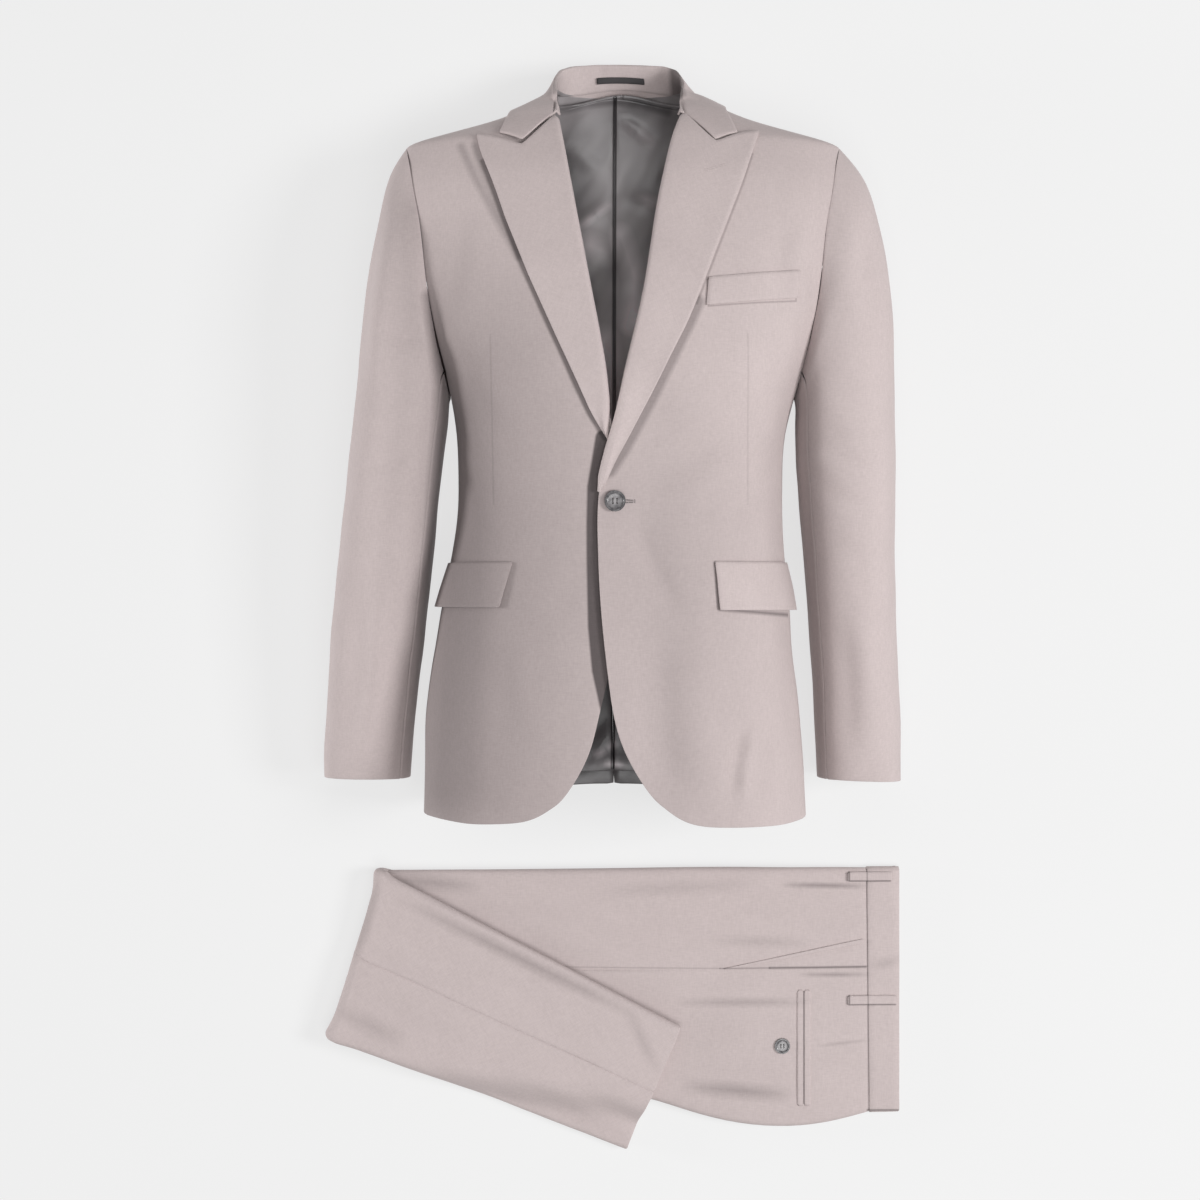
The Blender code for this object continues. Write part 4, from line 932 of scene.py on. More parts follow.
@dataclass
class Garment:
    """A garment: its cut pieces on one form."""

    form: Form
    cuts: tuple[Cut, ...]
    slot: str = "cloth"
    pieces: dict = field(default_factory=dict)

    def make(self, cut: Cut, materials: dict) -> Piece:
        """Args:
            cut: the piece.
            materials: the materials by finish name.

        Returns:
            The piece.
        """
        piece = copy_solid(cut.node, f"{cut.node}_cloth")
        harden_rims(piece)
        refine(piece, cut.levels, cut.rounding)
        set_points(piece.data, self.form.moved(pulled(mesh_points(piece.data) / MM, cut.pulls)) * MM)
        dress(piece, materials[cut.finish])
        if cut.inner_finish:
            self.face_inside(piece, cut, materials[cut.inner_finish])
        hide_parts(cut.node)
        return piece

    def face_inside(self, piece: Piece, cut: Cut, material: Material) -> None:
        """Gives the faces that look into the garment a second finish.

        Args:
            piece: the piece.
            cut: what it was cut from.
            material: the second finish.
        """
        piece.data.materials.append(material)
        split_across(piece.data, cut.inner_below * MM)
        centres = np.array([face.center[:] for face in piece.data.polygons])
        normals = np.array([face.normal[:] for face in piece.data.polygons])
        inside = np.sum(self.form.outward(centres / MM) * normals, axis=1) < INWARD
        inside &= centres[:, 1] < cut.inner_below * MM
        piece.data.polygons.foreach_set("material_index", inside.astype(np.int32))

    def build(self, materials: dict) -> None:
        """Makes every piece.

        Args:
            materials: the materials by finish name.
        """
        for cut in self.cuts:
            self.pieces[cut.node] = self.make(cut, materials)
            LOG.info("%s made", cut.node)


# The garments' forms and cuts


def under(*creases: Crease) -> tuple[Crease, ...]:
    """The same creases, on the side that faces the floor."""
    return tuple(replace(crease, side=Side.UNDER) for crease in creases)


def sleeve_form(axis: tuple, creases: tuple[Crease, ...]) -> Form:
    """The round form of a sleeve."""
    return Form(axis, half_width=48.0, half_depth=66.0, creases=creases)


def folded_form(*creases: Crease) -> Form:
    """The flat form of cloth that lies folded in layers."""
    return Form(axis=(), half_width=1.0, half_depth=1.0, creases=creases, waves=0.6, flat=True)


ridge = partial(Crease, kind=CreaseKind.RIDGE)
roll = partial(Crease, kind=CreaseKind.ROLL)

TORSO = Form(
    axis=((-240.0, 1.6, 92.0), (107.0, 6.5, 96.0), (295.0, 10.0, 102.0), (480.0, 9.0, 104.0), (600.0, 5.0, 70.0)),
    half_width=200.0,
    half_depth=110.0,
    creases=(
        roll((143, -108), (127, -206), 7.0, 3.0, bow=-4.0),
        Crease((12, 108), (88, -32), 13.0, 3.4, bow=-6.0),
        ridge((30, 98), (128, 8), 16.0, 2.2, bow=5.0),
        Crease((186, 240), (24, 134), 14.0, 2.2, bow=8.0),
        ridge((190, 205), (60, 118), 11.0, 1.2, bow=5.0),
        Crease((-170, 294), (-112, 180), 10.0, 2.4, bow=-5.0),
        ridge((-176, 262), (-128, 160), 9.0, 1.4, bow=-4.0),
        roll((-150, 432), (-166, 290), 15.0, 2.2, bow=4.0),
        roll((182, 412), (189, 296), 12.0, 1.8, bow=-4.0),
        Crease((-10, 92), (-84, -36), 13.0, 2.1, bow=5.0),
        roll((-112, 4), (-100, -198), 19.0, 2.9, bow=6.0),
        ridge((-58, -40), (-64, -206), 12.0, 1.2, bow=-3.0),
        roll((62, -10), (86, -214), 20.0, 3.0, bow=-7.0),
        Crease((-172, 156), (-104, 96), 8.0, 1.7),
        Crease((172, 150), (112, 88), 8.0, 1.5),
        *under(
            Crease((-64, 430), (-98, 286), 14.0, 2.1, bow=-8.0),
            Crease((82, 436), (110, 300), 12.0, 1.8, bow=9.0),
            Crease((-128, 128), (-18, 92), 10.0, 2.0, bow=5.0),
            Crease((20, 104), (134, 122), 11.0, 1.7, bow=-6.0),
            Crease((-92, 20), (-84, -180), 15.0, 1.5, bow=4.0),
            Crease((74, 10), (92, -190), 13.0, 1.7, bow=-5.0),
        ),
    ),
    waves=0.45,
)
LEFT_SLEEVE = sleeve_form(
    axis=(
        (-197.0, 270.0, 46.0), (21.0, 257.0, 80.0), (215.0, 250.0, 96.0), (345.0, 245.0, 101.0),
        (500.0, 215.0, 104.0),
    ),
    creases=(
        Crease((206, 168), (292, 132), 8.0, 3.0, bow=5.0),
        Crease((204, 136), (280, 92), 9.0, 2.2, bow=4.0),
        ridge((228, 196), (302, 176), 8.0, 1.8, bow=-4.0),
        Crease((212, 82), (272, 40), 10.0, 1.5, bow=5.0),
        roll((276, 440), (292, 230), 13.0, 3.0, bow=-6.0),
        roll((248, 20), (262, -170), 13.0, 2.4, bow=4.0),
        *under(
            Crease((214, 160), (300, 120), 10.0, 2.7, bow=6.0),
            Crease((214, 112), (290, 84), 9.0, 1.8, bow=-4.0),
            Crease((232, 300), (296, 268), 11.0, 1.5, bow=4.0),
        ),
    ),
)
RIGHT_SLEEVE = sleeve_form(
    axis=(
        (-197.0, -269.0, 46.0), (21.0, -250.0, 80.0), (215.0, -232.0, 96.0), (345.0, -222.0, 101.0),
        (500.0, -195.0, 104.0),
    ),
    creases=(
        Crease((-188, 276), (-258, 288), 8.0, 2.5, bow=-5.0),
        Crease((-190, 176), (-272, 140), 9.0, 2.8, bow=-5.0),
        Crease((-194, 128), (-276, 96), 9.0, 2.1, bow=-6.0),
        ridge((-204, 214), (-270, 200), 8.0, 1.7, bow=4.0),
        Crease((-206, 64), (-270, 42), 11.0, 1.7, bow=-4.0),
        roll((-234, 440), (-262, 226), 14.0, 3.8, bow=-5.0),
        roll((-262, 60), (-286, -168), 13.0, 2.8, bow=6.0),
        *under(
            Crease((-196, 168), (-276, 132), 9.0, 2.4, bow=5.0),
            Crease((-204, 104), (-272, 90), 10.0, 1.8, bow=-4.0),
            Crease((-206, 316), (-262, 280), 10.0, 1.7, bow=3.0),
        ),
    ),
)
LINING = replace(
    TORSO,
    creases=under(
        Crease((5, 545), (44, 516), 5.0, 3.1, bow=2.0),
        Crease((-38, 429), (-5, 451), 4.0, 3.9, bow=1.5),
        Crease((15, 463), (48, 449), 6.0, 3.4, bow=-2.0),
        Crease((-30, 419), (-7, 388), 7.0, 3.1, bow=3.0),
        Crease((14, 392), (27, 354), 7.0, 3.1, bow=-2.0),
        Crease((-48, 520), (-12, 486), 8.0, 2.5, bow=-3.0),
        Crease((-22, 352), (-6, 306), 6.0, 2.5),
        Crease((8, 330), (18, 286), 5.0, 2.2, bow=2.0),
        Crease((-24, -158), (4, -134), 4.0, 3.6, bow=1.5),
        Crease((-12, -167), (14, -172), 4.0, 3.1),
        Crease((-110, 320), (-60, 180), 10.0, 2.2, bow=6.0),
        Crease((112, 300), (66, 150), 10.0, 2.2, bow=-6.0),
        Crease((-96, 60), (-50, -80), 9.0, 2.0),
        Crease((90, 70), (60, -90), 9.0, 2.0),
    ),
    waves=0.6,
)
TROUSERS = folded_form(
    Crease((150, -310), (286, -306), 7.0, 3.1, bow=3.0),
    ridge((176, -330), (280, -352), 9.0, 1.7, bow=4.0),
    Crease((66, -436), (212, -432), 11.0, 3.4, bow=-5.0),
    Crease((80, -536), (206, -530), 10.0, 3.2, bow=6.0),
    ridge((96, -484), (178, -476), 16.0, 2.2, bow=-3.0),
    roll((-40, -330), (120, -345), 16.0, 2.0, bow=-6.0),
    Crease((236, -470), (282, -476), 6.0, 1.7),
    Crease((238, -520), (282, -512), 6.0, 1.5, bow=2.0),
    Crease((-180, -316), (-60, -330), 9.0, 1.5, bow=-2.0),
)
FOLDED_LEG = folded_form(
    roll((-284, -360), (-150, -420), 15.0, 2.0, bow=-6.0),
    Crease((-296, -430), (-120, -512), 14.0, 2.5, bow=7.0),
    ridge((-190, -372), (-20, -446), 12.0, 1.9, bow=5.0),
    Crease((-276, -322), (-268, -400), 9.0, 2.2, bow=-4.0),
    ridge((-306, -452), (-282, -404), 8.0, 1.7),
    Crease((-60, -500), (30, -560), 13.0, 2.0, bow=-4.0),
    Crease((-226, -324), (26, -446), 8.0, 2.7, bow=3.0),
)

RIGHT_LAPEL_END = (Pull((-13.8, 188.2), (7.9, -12.6, -5.2), 9.0), Pull((-3.4, 201.7), (-2.5, -26.1, -6.4), 9.0))
LEFT_LAPEL_END = (Pull((-12.9, 129.4), (-3.6, -5.4, -4.6), 6.0), Pull((-19.4, 129.9), (2.9, -5.9, -1.0), 6.0))
UPPER_LAYERS_END = (Pull((-240.0, -290.0), (-16.0, 0.0, 0.0), 14.0),)
FOLD_CORNERS = (Pull((-259.8, -287.7), (-2.4, 1.4, 0.0), 18.0), Pull((-312.9, -469.2), (-2.6, -2.6, 0.0), 18.0))
PLEAT_SHIFTS = ((560.0, -8.6), (460.0, -8.8), (360.0, -8.8), (260.0, -7.5), (160.0, -5.0), (60.0, -2.0))
LINING_PLEAT = tuple(Pull((9.3, y), (shift, 0.0, 0.0), 62.0) for y, shift in PLEAT_SHIFTS)
POCKET_SHIFT = (Pull((223.6, -486.0), (-12.2, 0.0, 0.0), 900.0),)

front_cut = partial(Cut, finish="right front worsted with painted shade")
sleeve_cut = partial(Cut, finish="sleeve worsted with painted shade")
lining_cut = partial(Cut, finish="lining satin with painted light", pulls=LINING_PLEAT)
trouser_cut = partial(Cut, held=Held.FOLDED, finish="trouser worsted with painted shade")
laid_trouser_cut = partial(trouser_cut, held=Held.LAID)
leg_cut = partial(Cut, held=Held.FOLDED, finish="folded leg worsted with painted shade")

BODY_CUTS = (
    Cut("back_left", (0.25, 0.79), 0.160, ("back_right",), inner_finish="lining satin with painted light"),
    Cut("back_right", (0.25, 0.79), 0.160, ("back_left",), inner_finish="lining satin with painted light"),
    Cut("side_left", (0.09, 0.53), 0.040, ("back_left", "front_left")),
    front_cut("side_right", (0.09, 0.53), 0.040, ("back_right", "front_right")),
    front_cut("front_right", (0.28, 0.78), 0.151, ("side_right",), levels=3),
    Cut("front_left", (0.30, 0.78), 0.163, ("side_left", "front_right"), levels=3, finish="left front worsted with painted shade"),
    Cut(
        "collar", (0.09, 0.42), 0.030, ("back_left", "back_right"),
        finish="collar worsted with painted shade", inner_finish="lining satin with painted light", inner_below=566.0,
    ),
    Cut("lapel_right", (0.11, 0.37), 0.021, ("front_right",), finish="right lapel worsted", pulls=RIGHT_LAPEL_END),
    Cut("lapel_left", (0.115, 0.43), 0.024, ("front_left",), finish="left lapel worsted", pulls=LEFT_LAPEL_END),
    Cut("flap_left", (0.055, 0.165), 0.0083, ("front_left",)),
    front_cut("flap_right", (0.052, 0.155), 0.0073, ("front_right",)),
    Cut("breast_welt", (0.027, 0.105), 0.0028, ("front_left",)),
)
LEFT_SLEEVE_CUTS = (
    sleeve_cut("sleeve_under_left", (0.15, 0.63), 0.080, ("sleeve_upper_left",)),
    sleeve_cut("sleeve_upper_left", (0.215, 0.69), 0.125, ("front_left", "back_left"), levels=3),
)
RIGHT_SLEEVE_CUTS = (
    sleeve_cut("sleeve_under_right", (0.15, 0.63), 0.079, ("sleeve_upper_right",)),
    sleeve_cut("sleeve_upper_right", (0.215, 0.69), 0.123, ("front_right", "back_right"), levels=3),
)
LINING_CUTS = (
    lining_cut("lining_left", (0.21, 0.77), 0.132, ("back_left",)),
    lining_cut("lining_right", (0.21, 0.77), 0.132, ("back_right",)),
    Cut("hanger_loop", (0.012, 0.05), 0.0003, ("collar",), finish="loop satin"),
)
TROUSER_CUTS = (
    trouser_cut(
        "trouser_inner_layers", (0.30, 0.61), 0.155, ("trouser_back_left",),
        rounding=Rounding.KEPT, pulls=UPPER_LAYERS_END,
    ),
    trouser_cut("trouser_front_left", (0.125, 0.56), 0.064, ("trouser_inner_layers",), pulls=UPPER_LAYERS_END),
    trouser_cut("trouser_back_left", (0.175, 0.585), 0.081, ("trouser_inner_layers",)),
    trouser_cut("waistband_left", (0.04, 0.28), 0.0104, ("trouser_front_left", "trouser_back_left")),
    trouser_cut("waistband_right", (0.01, 0.27), 0.0025, ("waistband_left",)),
    laid_trouser_cut("pocket_edge_left", (0.01, 0.157), 0.0008, ("trouser_front_left",)),
    laid_trouser_cut("belt_loop_1", (0.011, 0.052), 0.00057, ("waistband_left",)),
    laid_trouser_cut("belt_loop_2", (0.011, 0.057), 0.00062, ("waistband_left",)),
    *(
        laid_trouser_cut(f"back_pocket_jet_{jet}", (0.01, 0.124), 0.00107, ("trouser_back_left",), pulls=POCKET_SHIFT)
        for jet in (1, 2)
    ),
)
FOLDED_LEG_CUTS = (
    leg_cut(
        "trouser_folded_layers", (0.21, 0.40), 0.070, ("trouser_back_left",),
        rounding=Rounding.KEPT, pulls=FOLD_CORNERS,
    ),
    leg_cut("trouser_front_right", (0.13, 0.40), 0.039, ("trouser_folded_layers",), pulls=FOLD_CORNERS),
    leg_cut("trouser_back_right", (0.15, 0.40), 0.040, ("trouser_folded_layers",), pulls=FOLD_CORNERS),
    *(leg_cut(f"hem_ply_{ply}", (0.013, 0.118), 0.0014, ("trouser_folded_layers",)) for ply in (1, 2, 3)),
)

# Shorthands: a painted shade that fades towards its ends, and a painted highlight on the lining
faded_painted_shade = partial(SeamOrPaintedLight, fade=1.0)
painted_satin_highlight = partial(SeamOrPaintedLight, tint=PAINTED_SATIN_HIGHLIGHT)

# Paths along the lapels' outer edges, beside which painted shadow is drawn on the fronts
RIGHT_LAPEL_EDGE = (
    (-137.5, 470.0), (-113.4, 404.0), (-95.0, 356.5), (-67.8, 294.4), (-53.8, 263.6),
    (-39.5, 232.2), (-25.0, 201.5), (-10.5, 178.5),
)
LEFT_LAPEL_EDGE = (
    (-6.0, 146.0), (9.0, 168.5), (28.2, 203.9), (37.6, 221.7), (56.0, 258.7), (74.0, 295.0), (84.0, 318.0),
)
LEFT_LAPEL_UPPER_EDGE = ((84.0, 316.0), (97.5, 351.0), (119.2, 407.8), (133.6, 445.6), (144.0, 478.0))
# On the right front, in order: a broad painted shade down its side and a narrower one nearer the side, a dart, two
# painted shadows beside the right lapel's point, painted shadow along the right lapel's outer edge, and a dark
# painted shadow strip beside the left front's overlapping edge
RIGHT_FRONT_LINES = (
    SeamOrPaintedLight(((-165.0, 230.0), (-140.0, 90.0), (-150.0, -180.0)), 190.0, 0.52),
    SeamOrPaintedLight(((-172.0, 200.0), (-168.0, 60.0), (-186.0, -190.0)), 56.0, 0.34),
    SeamOrPaintedLight(((-128.3, 286), (-126.3, 112)), 1.5, 0.2),
    SeamOrPaintedLight(((-161.0, 488.0), (-146.0, 454.0), (-123.0, 409.0), (-99.0, 366.0)), 7.0, 0.34, 1.2),
    SeamOrPaintedLight(((-146.0, 487.0), (-135.0, 454.0), (-117.0, 409.0), (-97.0, 366.0)), 7.0, 0.3, 1.2),
    SeamOrPaintedLight(RIGHT_LAPEL_EDGE, 4.2, 0.62, 1.5),
    SeamOrPaintedLight(
        (
            (-12.1, 178.5), (-16.2, 153.0), (-20.5, 128.3), (-21.3, 90.0), (-21.2, 53.3), (-19.7, -15.6),
            (-15.6, -60.0), (-6.0, -104.0),
        ),
        9.1, 1.0, 3.8,
    ),
)
# On the left front, in order: a broad painted shade over its lower middle, a dark line round three sides of the
# breast welt, painted shadow along the hip flap's left and lower edges, a dart, painted shadow beside the left
# lapel's outer edge, and a thin painted shadow line along its upper edge
LEFT_FRONT_LINES = (
    SeamOrPaintedLight(((50.0, 120.0), (60.0, -60.0), (60.0, -190.0)), 150.0, 0.2),
    SeamOrPaintedLight(((95.3, 341.4), (95.9, 313.6), (188.4, 322.7), (188.4, 350.4)), 1.5, 0.45),
    SeamOrPaintedLight(((103.9, 50.0), (108.2, 2.8), (188.4, -4.0)), 3.4, 0.75),
    SeamOrPaintedLight(((137.0, 286), (139.0, 112)), 1.5, 0.18),
    SeamOrPaintedLight(LEFT_LAPEL_EDGE, 10.0, 0.5, 2.0),
    SeamOrPaintedLight(LEFT_LAPEL_UPPER_EDGE, 2.0, 0.4),
)
# Painted shade on the sleeves: a dark band along the right sleeve's inner edge, where it meets the body, a broad
# painted shade over that sleeve, and a band along the left sleeve's inner edge
SLEEVE_PAINTED_SHADES = (
    SeamOrPaintedLight(
        (
            (-194.0, 330.0), (-190.8, 301.2), (-183.3, 237.0), (-185.5, 194.2), (-190.8, 140.6), (-197.2, 55.0),
            (-203.6, -41.4), (-209.0, -120.0),
        ),
        10.0, 0.62, 1.2,
    ),
    SeamOrPaintedLight(((-212.0, 420.0), (-196.0, 240.0), (-204.0, 60.0), (-222.0, -190.0)), 48.0, 0.26),
    SeamOrPaintedLight(
        ((196.6, 302.5), (203.1, 227.2), (206.0, 150.0), (212.0, 60.0), (220.0, -60.0), (226.0, -196.0)),
        15.0, 0.4,
    ),
)
# Painted shadow on the inside of the collar, at its two sides
COLLAR_PAINTED_SHADES = (
    SeamOrPaintedLight(((66.0, 592.0), (68.0, 574.0), (70.0, 552.0)), 8.5, 0.75, 1.6),
    SeamOrPaintedLight(((-67.0, 584.0), (-67.0, 556.0)), 9.0, 0.35, 1.2),
)
# On the trousers, in order: the side seam in three parts, the waistband's seam, a dark line along the waistband's
# end, painted shadow along two sides of each belt loop, painted shade in the back pocket's mouth between its jets,
# and faded painted shades in the creases and on the waistband
TROUSER_LINES = (
    SeamOrPaintedLight(((173.5, -396.8), (281.0, -396.4)), 2.0, 0.85),
    SeamOrPaintedLight(((118.0, -397.0), (173.5, -396.8)), 1.4, 0.55),
    SeamOrPaintedLight(((-160.0, -394.2), (118.0, -397.0)), 1.2, 0.32),
    SeamOrPaintedLight(((282.0, -287.6), (284.2, -556.2)), 1.4, 0.6),
    SeamOrPaintedLight(((283.0, -556.4), (317.8, -556.8)), 1.8, 0.8),
    SeamOrPaintedLight(((262.0, -428.3), (262.0, -438.2), (314.0, -438.6)), 1.5, 0.85),
    SeamOrPaintedLight(((262.0, -291.0), (262.0, -300.7), (308.0, -300.7)), 1.5, 0.85),
    SeamOrPaintedLight(((211.3, -423.0), (211.3, -547.5)), 1.3, 0.75),
    faded_painted_shade(((184.0, -304.5), (286.0, -307.0)), 4.6, 0.55),
    faded_painted_shade(((-20.0, -312.0), (160.0, -303.0)), 11.0, 0.16),
    faded_painted_shade(((66.0, -435.0), (222.0, -435.5)), 7.5, 0.3),
    faded_painted_shade(((72.0, -527.0), (202.0, -539.0)), 12.0, 0.42),
    faded_painted_shade(((204.0, -404.4), (288.0, -405.2)), 3.8, 0.45),
    faded_painted_shade(((104.0, -366.0), (222.0, -369.0)), 9.0, 0.18),
    faded_painted_shade(((-268.0, -296.0), (-146.0, -307.0)), 12.0, 0.32),
    faded_painted_shade(((222.0, -484.5), (288.0, -478.0)), 2.9, 0.24),
    faded_painted_shade(((284.0, -396.0), (322.0, -388.0)), 9.0, 0.2),
)
# Faded painted shades in the folded leg's creases and beside its fold
FOLDED_LEG_PAINTED_SHADES = (
    faded_painted_shade(((-244.0, -314.0), (36.0, -452.0)), 9.5, 0.36),
    faded_painted_shade(((-258.0, -290.0), (-290.0, -392.0)), 11.0, 0.24),
    faded_painted_shade(((-312.0, -436.0), (-226.0, -478.0)), 15.0, 0.2),
    faded_painted_shade(((14.0, -436.0), (50.0, -512.0)), 10.0, 0.2),
    faded_painted_shade(((-130.0, -530.0), (20.0, -585.0)), 13.0, 0.14),
)
# On the lining, in order: a dark line down the centre pleat, partly its seam and partly painted shade in the fold;
# painted shade under the collar and over the lining's top; two painted shadows darkening the hem opening; painted
# highlights on the crumples; a dark band along the hem; brighter painted highlights on two crumples in the hem
# opening; and two soft dark strips down it
LINING_LINES = (
    SeamOrPaintedLight(((1.2, 565.0), (0.6, 300.0), (0.0, 0.0), (-1.0, -175.0)), 2.4, 1.0, 2.2),
    SeamOrPaintedLight(((-62.0, 550.0), (-30.0, 559.0), (0.0, 562.0), (30.0, 559.0), (60.0, 550.0)), 7.0, 0.6, 1.5),
    SeamOrPaintedLight(((-30.0, 560.0), (30.0, 560.0)), 200.0, 0.68, 1.2),
    SeamOrPaintedLight(((-90.0, -120.0), (90.0, -120.0)), 95.0, 1.0, 2.0),
    SeamOrPaintedLight(((-90.0, -120.0), (90.0, -120.0)), 80.0, 0.75, 2.0),
    painted_satin_highlight(((-40.0, 428.0), (-20.0, 442.0), (-2.0, 455.0)), 7.0, 0.8, fade=0.8),
    painted_satin_highlight(((5.8, 540.0), (24.0, 530.0), (48.0, 518.0)), 10.0, 0.6, fade=0.8),
    painted_satin_highlight(((22.0, 466.0), (50.0, 453.0)), 9.0, 0.7, fade=0.8),
    painted_satin_highlight(((-26.0, 408.0), (-8.0, 400.0)), 19.0, 0.6),
    painted_satin_highlight(((8.0, 420.0), (24.0, 372.0), (20.0, 320.0)), 16.0, 0.8),
    painted_satin_highlight(((-14.0, 300.0), (8.0, 190.0)), 24.0, 0.9),
    SeamOrPaintedLight(((-90.0, -192.0), (90.0, -192.0)), 20.0, 0.95, 2.4),
    SeamOrPaintedLight(((-24.0, -162.0), (-8.0, -156.0), (4.0, -145.0)), 7.0, 1.0, fade=0.8, tint=PAINTED_HEM_HIGHLIGHT),
    SeamOrPaintedLight(((-12.0, -170.0), (12.0, -172.5)), 6.0, 1.0, fade=0.8, tint=PAINTED_HEM_HIGHLIGHT),
    SeamOrPaintedLight(((-58.0, 520.0), (-40.0, 450.0), (-22.0, 330.0)), 9.0, 0.25),
    SeamOrPaintedLight(((56.0, 540.0), (44.0, 440.0), (26.0, 340.0)), 9.0, 0.2),
)


# Buttons and stitching


@dataclass
class FourHoleButton:
    """A horn button with a raised rim, four holes and two bars of thread.

    Lengths are in millimetres. The shares are of the radius or, for the two depths, of the thickness.
    """

    name: str
    node: str
    centre: tuple[float, float]
    low_z: float
    radius: float
    thickness: float = 3.4
    rim: float = 0.17
    slope: float = 0.08
    slope_depth: float = 0.32
    dish: float = 0.16
    dish_depth: float = 0.06
    rounding: float = 0.07
    hole_radius: float = 0.1
    hole_spacing: float = 0.2
    around: int = 56
    hole_sides: int = 20
    bar_radius: float = 0.52
    bar_over: float = 0.4
    bar_seat: float = 0.62
    bar_lift: float = 0.35
    bar_sides: int = 12
    knot_radius: float = 0.62
    knot_drop: float = 0.15

    def disc(self) -> Piece:
        """Models the button itself.

        Returns:
            The button's object.
        """
        bpy.ops.object.select_all(action="DESELECT")
        middle = (self.centre[0] * MM, self.centre[1] * MM, (self.low_z + self.thickness / 2) * MM)
        bpy.ops.mesh.primitive_cylinder_add(
            vertices=self.around, radius=self.radius * MM, depth=self.thickness * MM, location=middle
        )
        button = bpy.context.active_object
        button.name = self.name
        bpy.ops.object.transform_apply(location=True, rotation=True, scale=True)
        top = (self.low_z + self.thickness) * MM
        bpy.ops.object.mode_set(mode="EDIT")
        edit = bmesh.from_edit_mesh(button.data)
        for face in edit.faces:
            face.select_set(face.normal.z > UPWARD)
        bmesh.update_edit_mesh(button.data)
        bpy.ops.mesh.inset(thickness=self.rim * self.radius * MM, depth=0.0)
        for width, depth in ((self.slope, self.slope_depth), (self.dish, self.dish_depth)):
            bpy.ops.mesh.inset(thickness=width * self.radius * MM, depth=-depth * self.thickness * MM)
        edit = bmesh.from_edit_mesh(button.data)
        for edge in edit.edges:
            ends = [vertex.co for vertex in edge.verts]
            edge.select_set(all(abs(end.z - top) < MERGE_REACH for end in ends) and self.is_rim(ends))
        bmesh.update_edit_mesh(button.data)
        bpy.ops.mesh.bevel(offset=self.rounding * self.radius * MM, segments=4, affect="EDGES")
        bpy.ops.object.mode_set(mode="OBJECT")
        self.drill(button)
        return button

    def is_rim(self, ends: list) -> bool:
        """Whether an edge's ends lie on one ring round the centre."""
        spans = [math.hypot(end.x - self.centre[0] * MM, end.y - self.centre[1] * MM) for end in ends]
        return abs(spans[0] - spans[1]) < MERGE_REACH

    def hole_places(self) -> list[tuple[float, float]]:
        """Where the four holes are.

        Returns:
            Their centres in millimetres.
        """
        reach = self.hole_spacing * self.radius
        return [(self.centre[0] + sx * reach, self.centre[1] + sy * reach) for sx in (-1, 1) for sy in (-1, 1)]

    def drill(self, button: Piece) -> None:
        """Cuts the four holes.

        Args:
            button: the button's object.
        """
        for x, y in self.hole_places():
            bpy.ops.mesh.primitive_cylinder_add(
                vertices=self.hole_sides,
                radius=self.hole_radius * self.radius * MM,
                depth=3 * self.thickness * MM,
                location=(x * MM, y * MM, self.low_z * MM),
            )
            drill_bit = bpy.context.active_object
            select_only(button)
            cut = button.modifiers.new("hole", "BOOLEAN")
            cut.operation = "DIFFERENCE"
            cut.object = drill_bit
            bpy.ops.object.modifier_apply(modifier=cut.name)
            bpy.data.objects.remove(drill_bit)

    def thread(self) -> Piece:
        """Models the thread: two bars on the button and the four legs in its holes.

        Returns:
            The thread's object.
        """
        reach = self.hole_spacing * self.radius
        top = self.low_z + self.bar_seat * self.thickness + self.bar_lift
        parts = []
        for side in (-1, 1):
            x = self.centre[0] + side * reach
            bpy.ops.mesh.primitive_cylinder_add(
                vertices=self.bar_sides,
                radius=self.bar_radius * MM,
                depth=(2 * reach + self.bar_over) * MM,
                location=(x * MM, self.centre[1] * MM, top * MM),
                rotation=(math.pi / 2, 0, 0),
            )
            parts.append(bpy.context.active_object)
        for x, y in self.hole_places():
            bpy.ops.mesh.primitive_uv_sphere_add(
                segments=self.bar_sides,
                ring_count=8,
                radius=self.knot_radius * MM,
                location=(x * MM, y * MM, (top - self.knot_drop) * MM),
            )
            parts.append(bpy.context.active_object)
        return join_all(parts, f"{self.name}_thread")

    def build(self, materials: dict) -> None:
        """Makes the button and its thread.

        Args:
            materials: the materials by finish name.
        """
        button = self.disc()
        dress(button, materials[self.name])
        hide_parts(self.node)
        dress(self.thread(), materials["sewing thread"])
        LOG.info("%s made", self.name)


